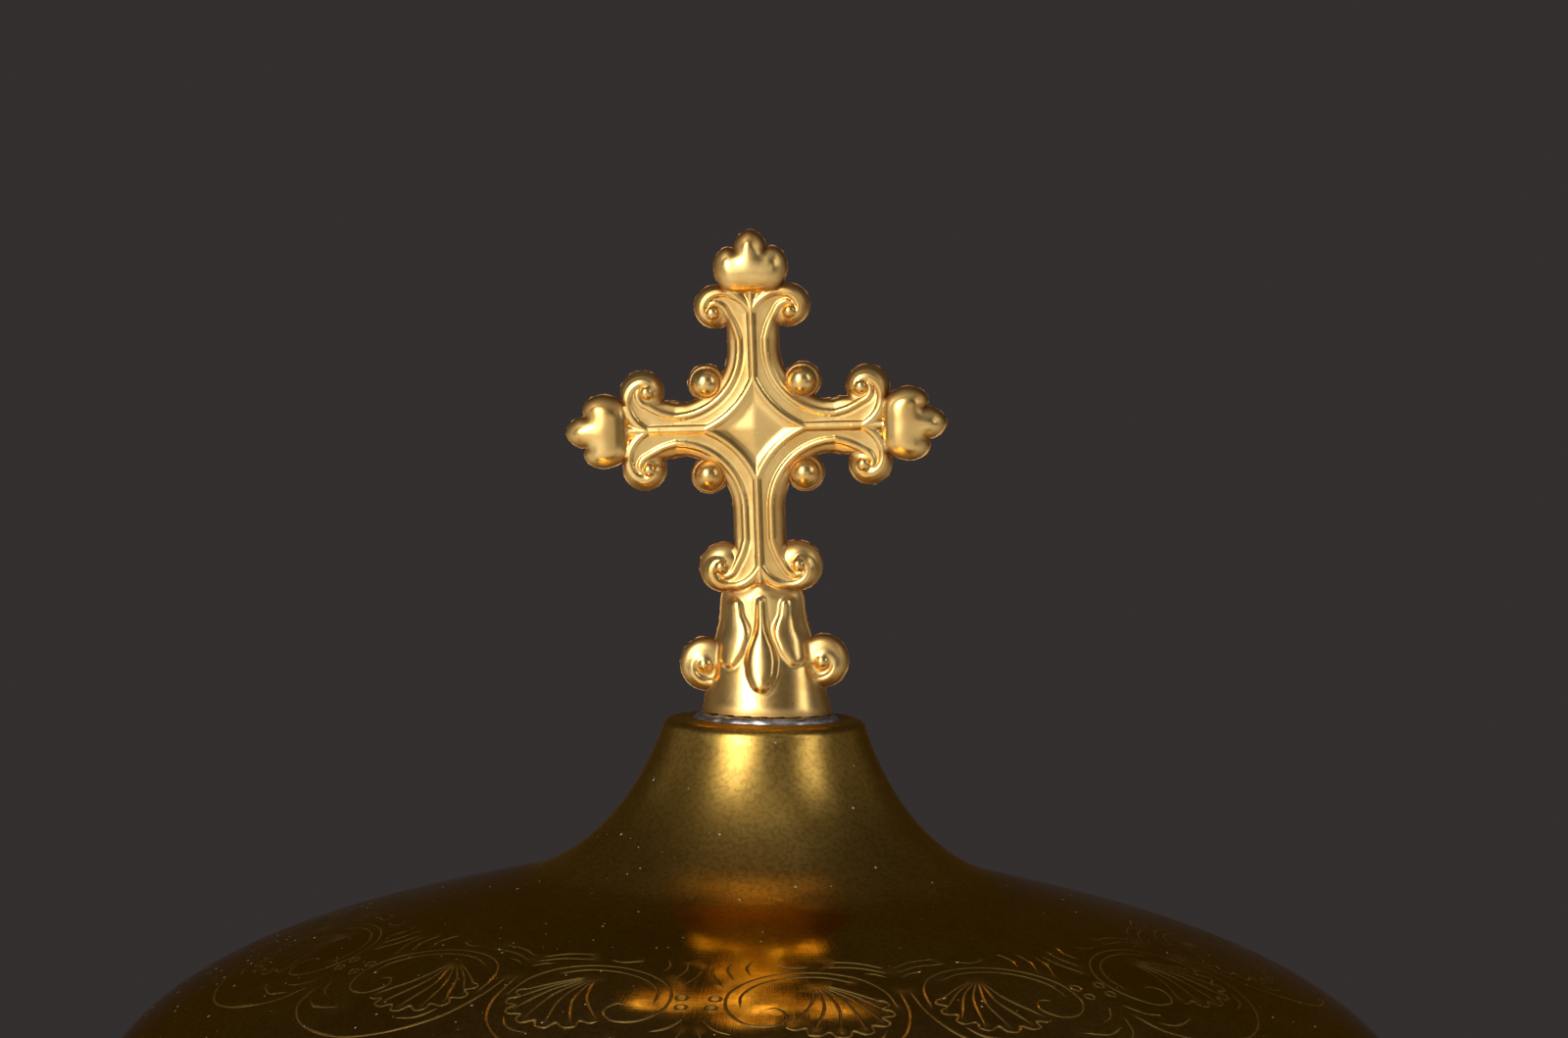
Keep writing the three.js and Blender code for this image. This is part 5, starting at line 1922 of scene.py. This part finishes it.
@dataclass
class Studio:
    """The floor, the soft lamps, the dim room and the camera."""

    lens: float = 191.3
    pitch: float = 4.966
    roll: float = 0.938
    camera_place: tuple[float, float, float] = (0.00146, -0.74563, 0.32113)
    room: Colour = (0.0343, 0.0290, 0.0284, 1.0)

    def camera(self) -> None:
        """Sets the camera where the photograph was taken from."""
        data = bpy.data.cameras.new("camera")
        data.lens, data.sensor_width = self.lens, 36.0
        data.clip_start, data.clip_end = 0.01, 100.0
        made = bpy.data.objects.new("camera", data)
        bpy.context.scene.collection.objects.link(made)
        down, tilt = math.radians(self.pitch), math.radians(self.roll)
        ahead = Vector((0, math.cos(down), -math.sin(down)))
        upright, level = Vector((0, math.sin(down), math.cos(down))), Vector((1, 0, 0))
        right = level * math.cos(tilt) + upright * math.sin(tilt)
        up = upright * math.cos(tilt) - level * math.sin(tilt)
        turned = Matrix((right, up, -ahead)).transposed().to_4x4()
        made.matrix_world = Matrix.Translation(Vector(self.camera_place)) @ turned
        bpy.context.scene.camera = made

    def lamp(
        self,
        name: str,
        azimuth: float,
        elevation: float,
        distance: float,
        size: tuple[float, float],
        glow: float,
        spread: float = 180.0,
    ) -> None:
        """Hangs a soft square lamp that faces the cross.

        Args:
            name: The lamp's name.
            azimuth: Degrees round from the front, to the right if positive.
            elevation: Degrees above the cross.
            distance: Metres from the cross.
            size: Its width and height in metres.
            glow: How bright its face is.
            spread: How many degrees wide its light leaves it.
        """
        data = bpy.data.lights.new(name, "AREA")
        data.shape, data.size, data.size_y = "RECTANGLE", size[0], size[1]
        data.energy = glow * math.pi * size[0] * size[1]
        data.spread = math.radians(spread)
        made = bpy.data.objects.new(name, data)
        bpy.context.scene.collection.objects.link(made)
        around, above = math.radians(azimuth), math.radians(elevation)
        level = math.cos(above)
        away = Vector((math.sin(around) * level, -math.cos(around) * level, math.sin(above)))
        made.rotation_mode = "QUATERNION"
        made.rotation_quaternion = away.to_track_quat("Z", "Y")
        made.location = Vector((0, 0, 0.25)) + away * distance
        made.visible_camera = False

    def world(self) -> None:
        """Makes the room dim where it is seen or mirrored, and even where it lights the floor."""
        world = bpy.data.worlds.new("room")
        world.use_nodes = True
        nodes, links = world.node_tree.nodes, world.node_tree.links
        nodes.clear()
        path = nodes.new("ShaderNodeLightPath")
        seen = nodes.new("ShaderNodeMath")
        seen.operation, seen.use_clamp = "ADD", True
        also = nodes.new("ShaderNodeMath")
        also.operation, also.use_clamp = "ADD", True
        dim, even = nodes.new("ShaderNodeBackground"), nodes.new("ShaderNodeBackground")
        dim.inputs["Color"].default_value = self.room
        even.inputs["Color"].default_value = (0.42, 0.41, 0.40, 1.0)
        mix, leave = nodes.new("ShaderNodeMixShader"), nodes.new("ShaderNodeOutputWorld")
        links.new(path.outputs["Is Camera Ray"], seen.inputs[0])
        links.new(path.outputs["Is Glossy Ray"], seen.inputs[1])
        links.new(seen.outputs[0], also.inputs[0])
        links.new(path.outputs["Is Transmission Ray"], also.inputs[1])
        links.new(also.outputs[0], mix.inputs[0])
        links.new(even.outputs[0], mix.inputs[1])
        links.new(dim.outputs[0], mix.inputs[2])
        links.new(mix.outputs[0], leave.inputs["Surface"])
        bpy.context.scene.world = world

    def floor(self) -> None:
        """Lays a plain pale round floor under the foot."""
        angles = np.linspace(0, math.tau, 128, endpoint=False)
        points = np.column_stack([1.25 * np.cos(angles), 1.25 * np.sin(angles), np.full(128, -0.0002)])
        floor = new_object("floor", points, [], [list(range(128))])
        shade = Shader("pale_floor")
        grain = shade.noise(shade.place(), 60.0, 3.0)
        rough = shade.math("MULTIPLY_ADD", grain, 0.1, 0.55)
        floor.data.materials.append(shade.finish(Base_Color=(0.72, 0.70, 0.67, 1.0), Roughness=rough))

    def build(self) -> None:
        """Sets up the whole studio."""
        self.camera()
        self.world()
        self.floor()
        self.lamp("key_lamp", -31, 20, 1.3, (0.50, 1.15), 3.9)
        self.lamp("key_core", -31, 24, 1.28, (0.14, 0.36), 24.0)
        self.lamp("side_lamp", 55, 26, 1.3, (0.20, 0.80), 3.6)
        self.lamp("front_fill", 3, 2, 1.6, (1.5, 0.62), 0.54)
        self.lamp("left_lamp", -60, 4, 1.3, (0.4, 0.45), 0.7)
        self.lamp("left_fill", -100, 8, 1.5, (1.3, 1.3), 0.1)
        self.lamp("right_fill", 100, 8, 1.5, (1.3, 1.3), 0.07)
        self.lamp("top_fill", 0, 74, 1.5, (1.4, 1.2), 0.07)
        self.lamp("high_fill", 4, 58, 1.5, (0.9, 0.4), 0.25)
        self.lamp("back_lamp", 180, -18, 0.6, (0.7, 0.11), 1.2, 80)
        view = bpy.context.scene.view_settings
        view.view_transform = "Standard"


def main() -> None:
    """Builds the ciborium from the foot up, and then the studio round it."""
    logging.basicConfig(level=logging.INFO, format="%(message)s")
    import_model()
    lathe = Lathe()
    gilt = SpunGilt("gilt_spinning", satin=0.16, mirror=0.13).material()
    pale = (0.90, 0.58, 0.16, 1.0)
    bright = SpunGilt("gilt_bright_turning", colour=pale, satin=0.13, mirror=0.12).material()
    brass = PlainMetal("bare_brass", (0.55, 0.33, 0.10, 1.0), (0.40, 0.23, 0.07, 1.0)).material()
    greys = (0.82, 0.80, 0.79, 1.0), (0.34, 0.31, 0.30, 1.0)
    solder = PlainMetal("grey_solder", *greys, rough=0.3, grain=420.0).material()
    reds = (0.66, 0.36, 0.17, 1.0), (0.36, 0.16, 0.07, 1.0)
    copper = PlainMetal("copper_seam", *reds, rough=0.42).material()
    cross_gilt = StampedGilt("gilt_stamping").material()
    Foot().build(lathe, SpunGilt("gilt_foot", dust=0.2), brass, gilt)
    Stem().build(lathe, gilt, bright)
    Bowl().build(lathe, gilt)
    Lid().build(lathe, SpunGilt("gilt_lid", dust=0.75), gilt, brass)
    Cross().build(cross_gilt, copper, solder)
    Studio().build()


if __name__ == "__main__":
    main()
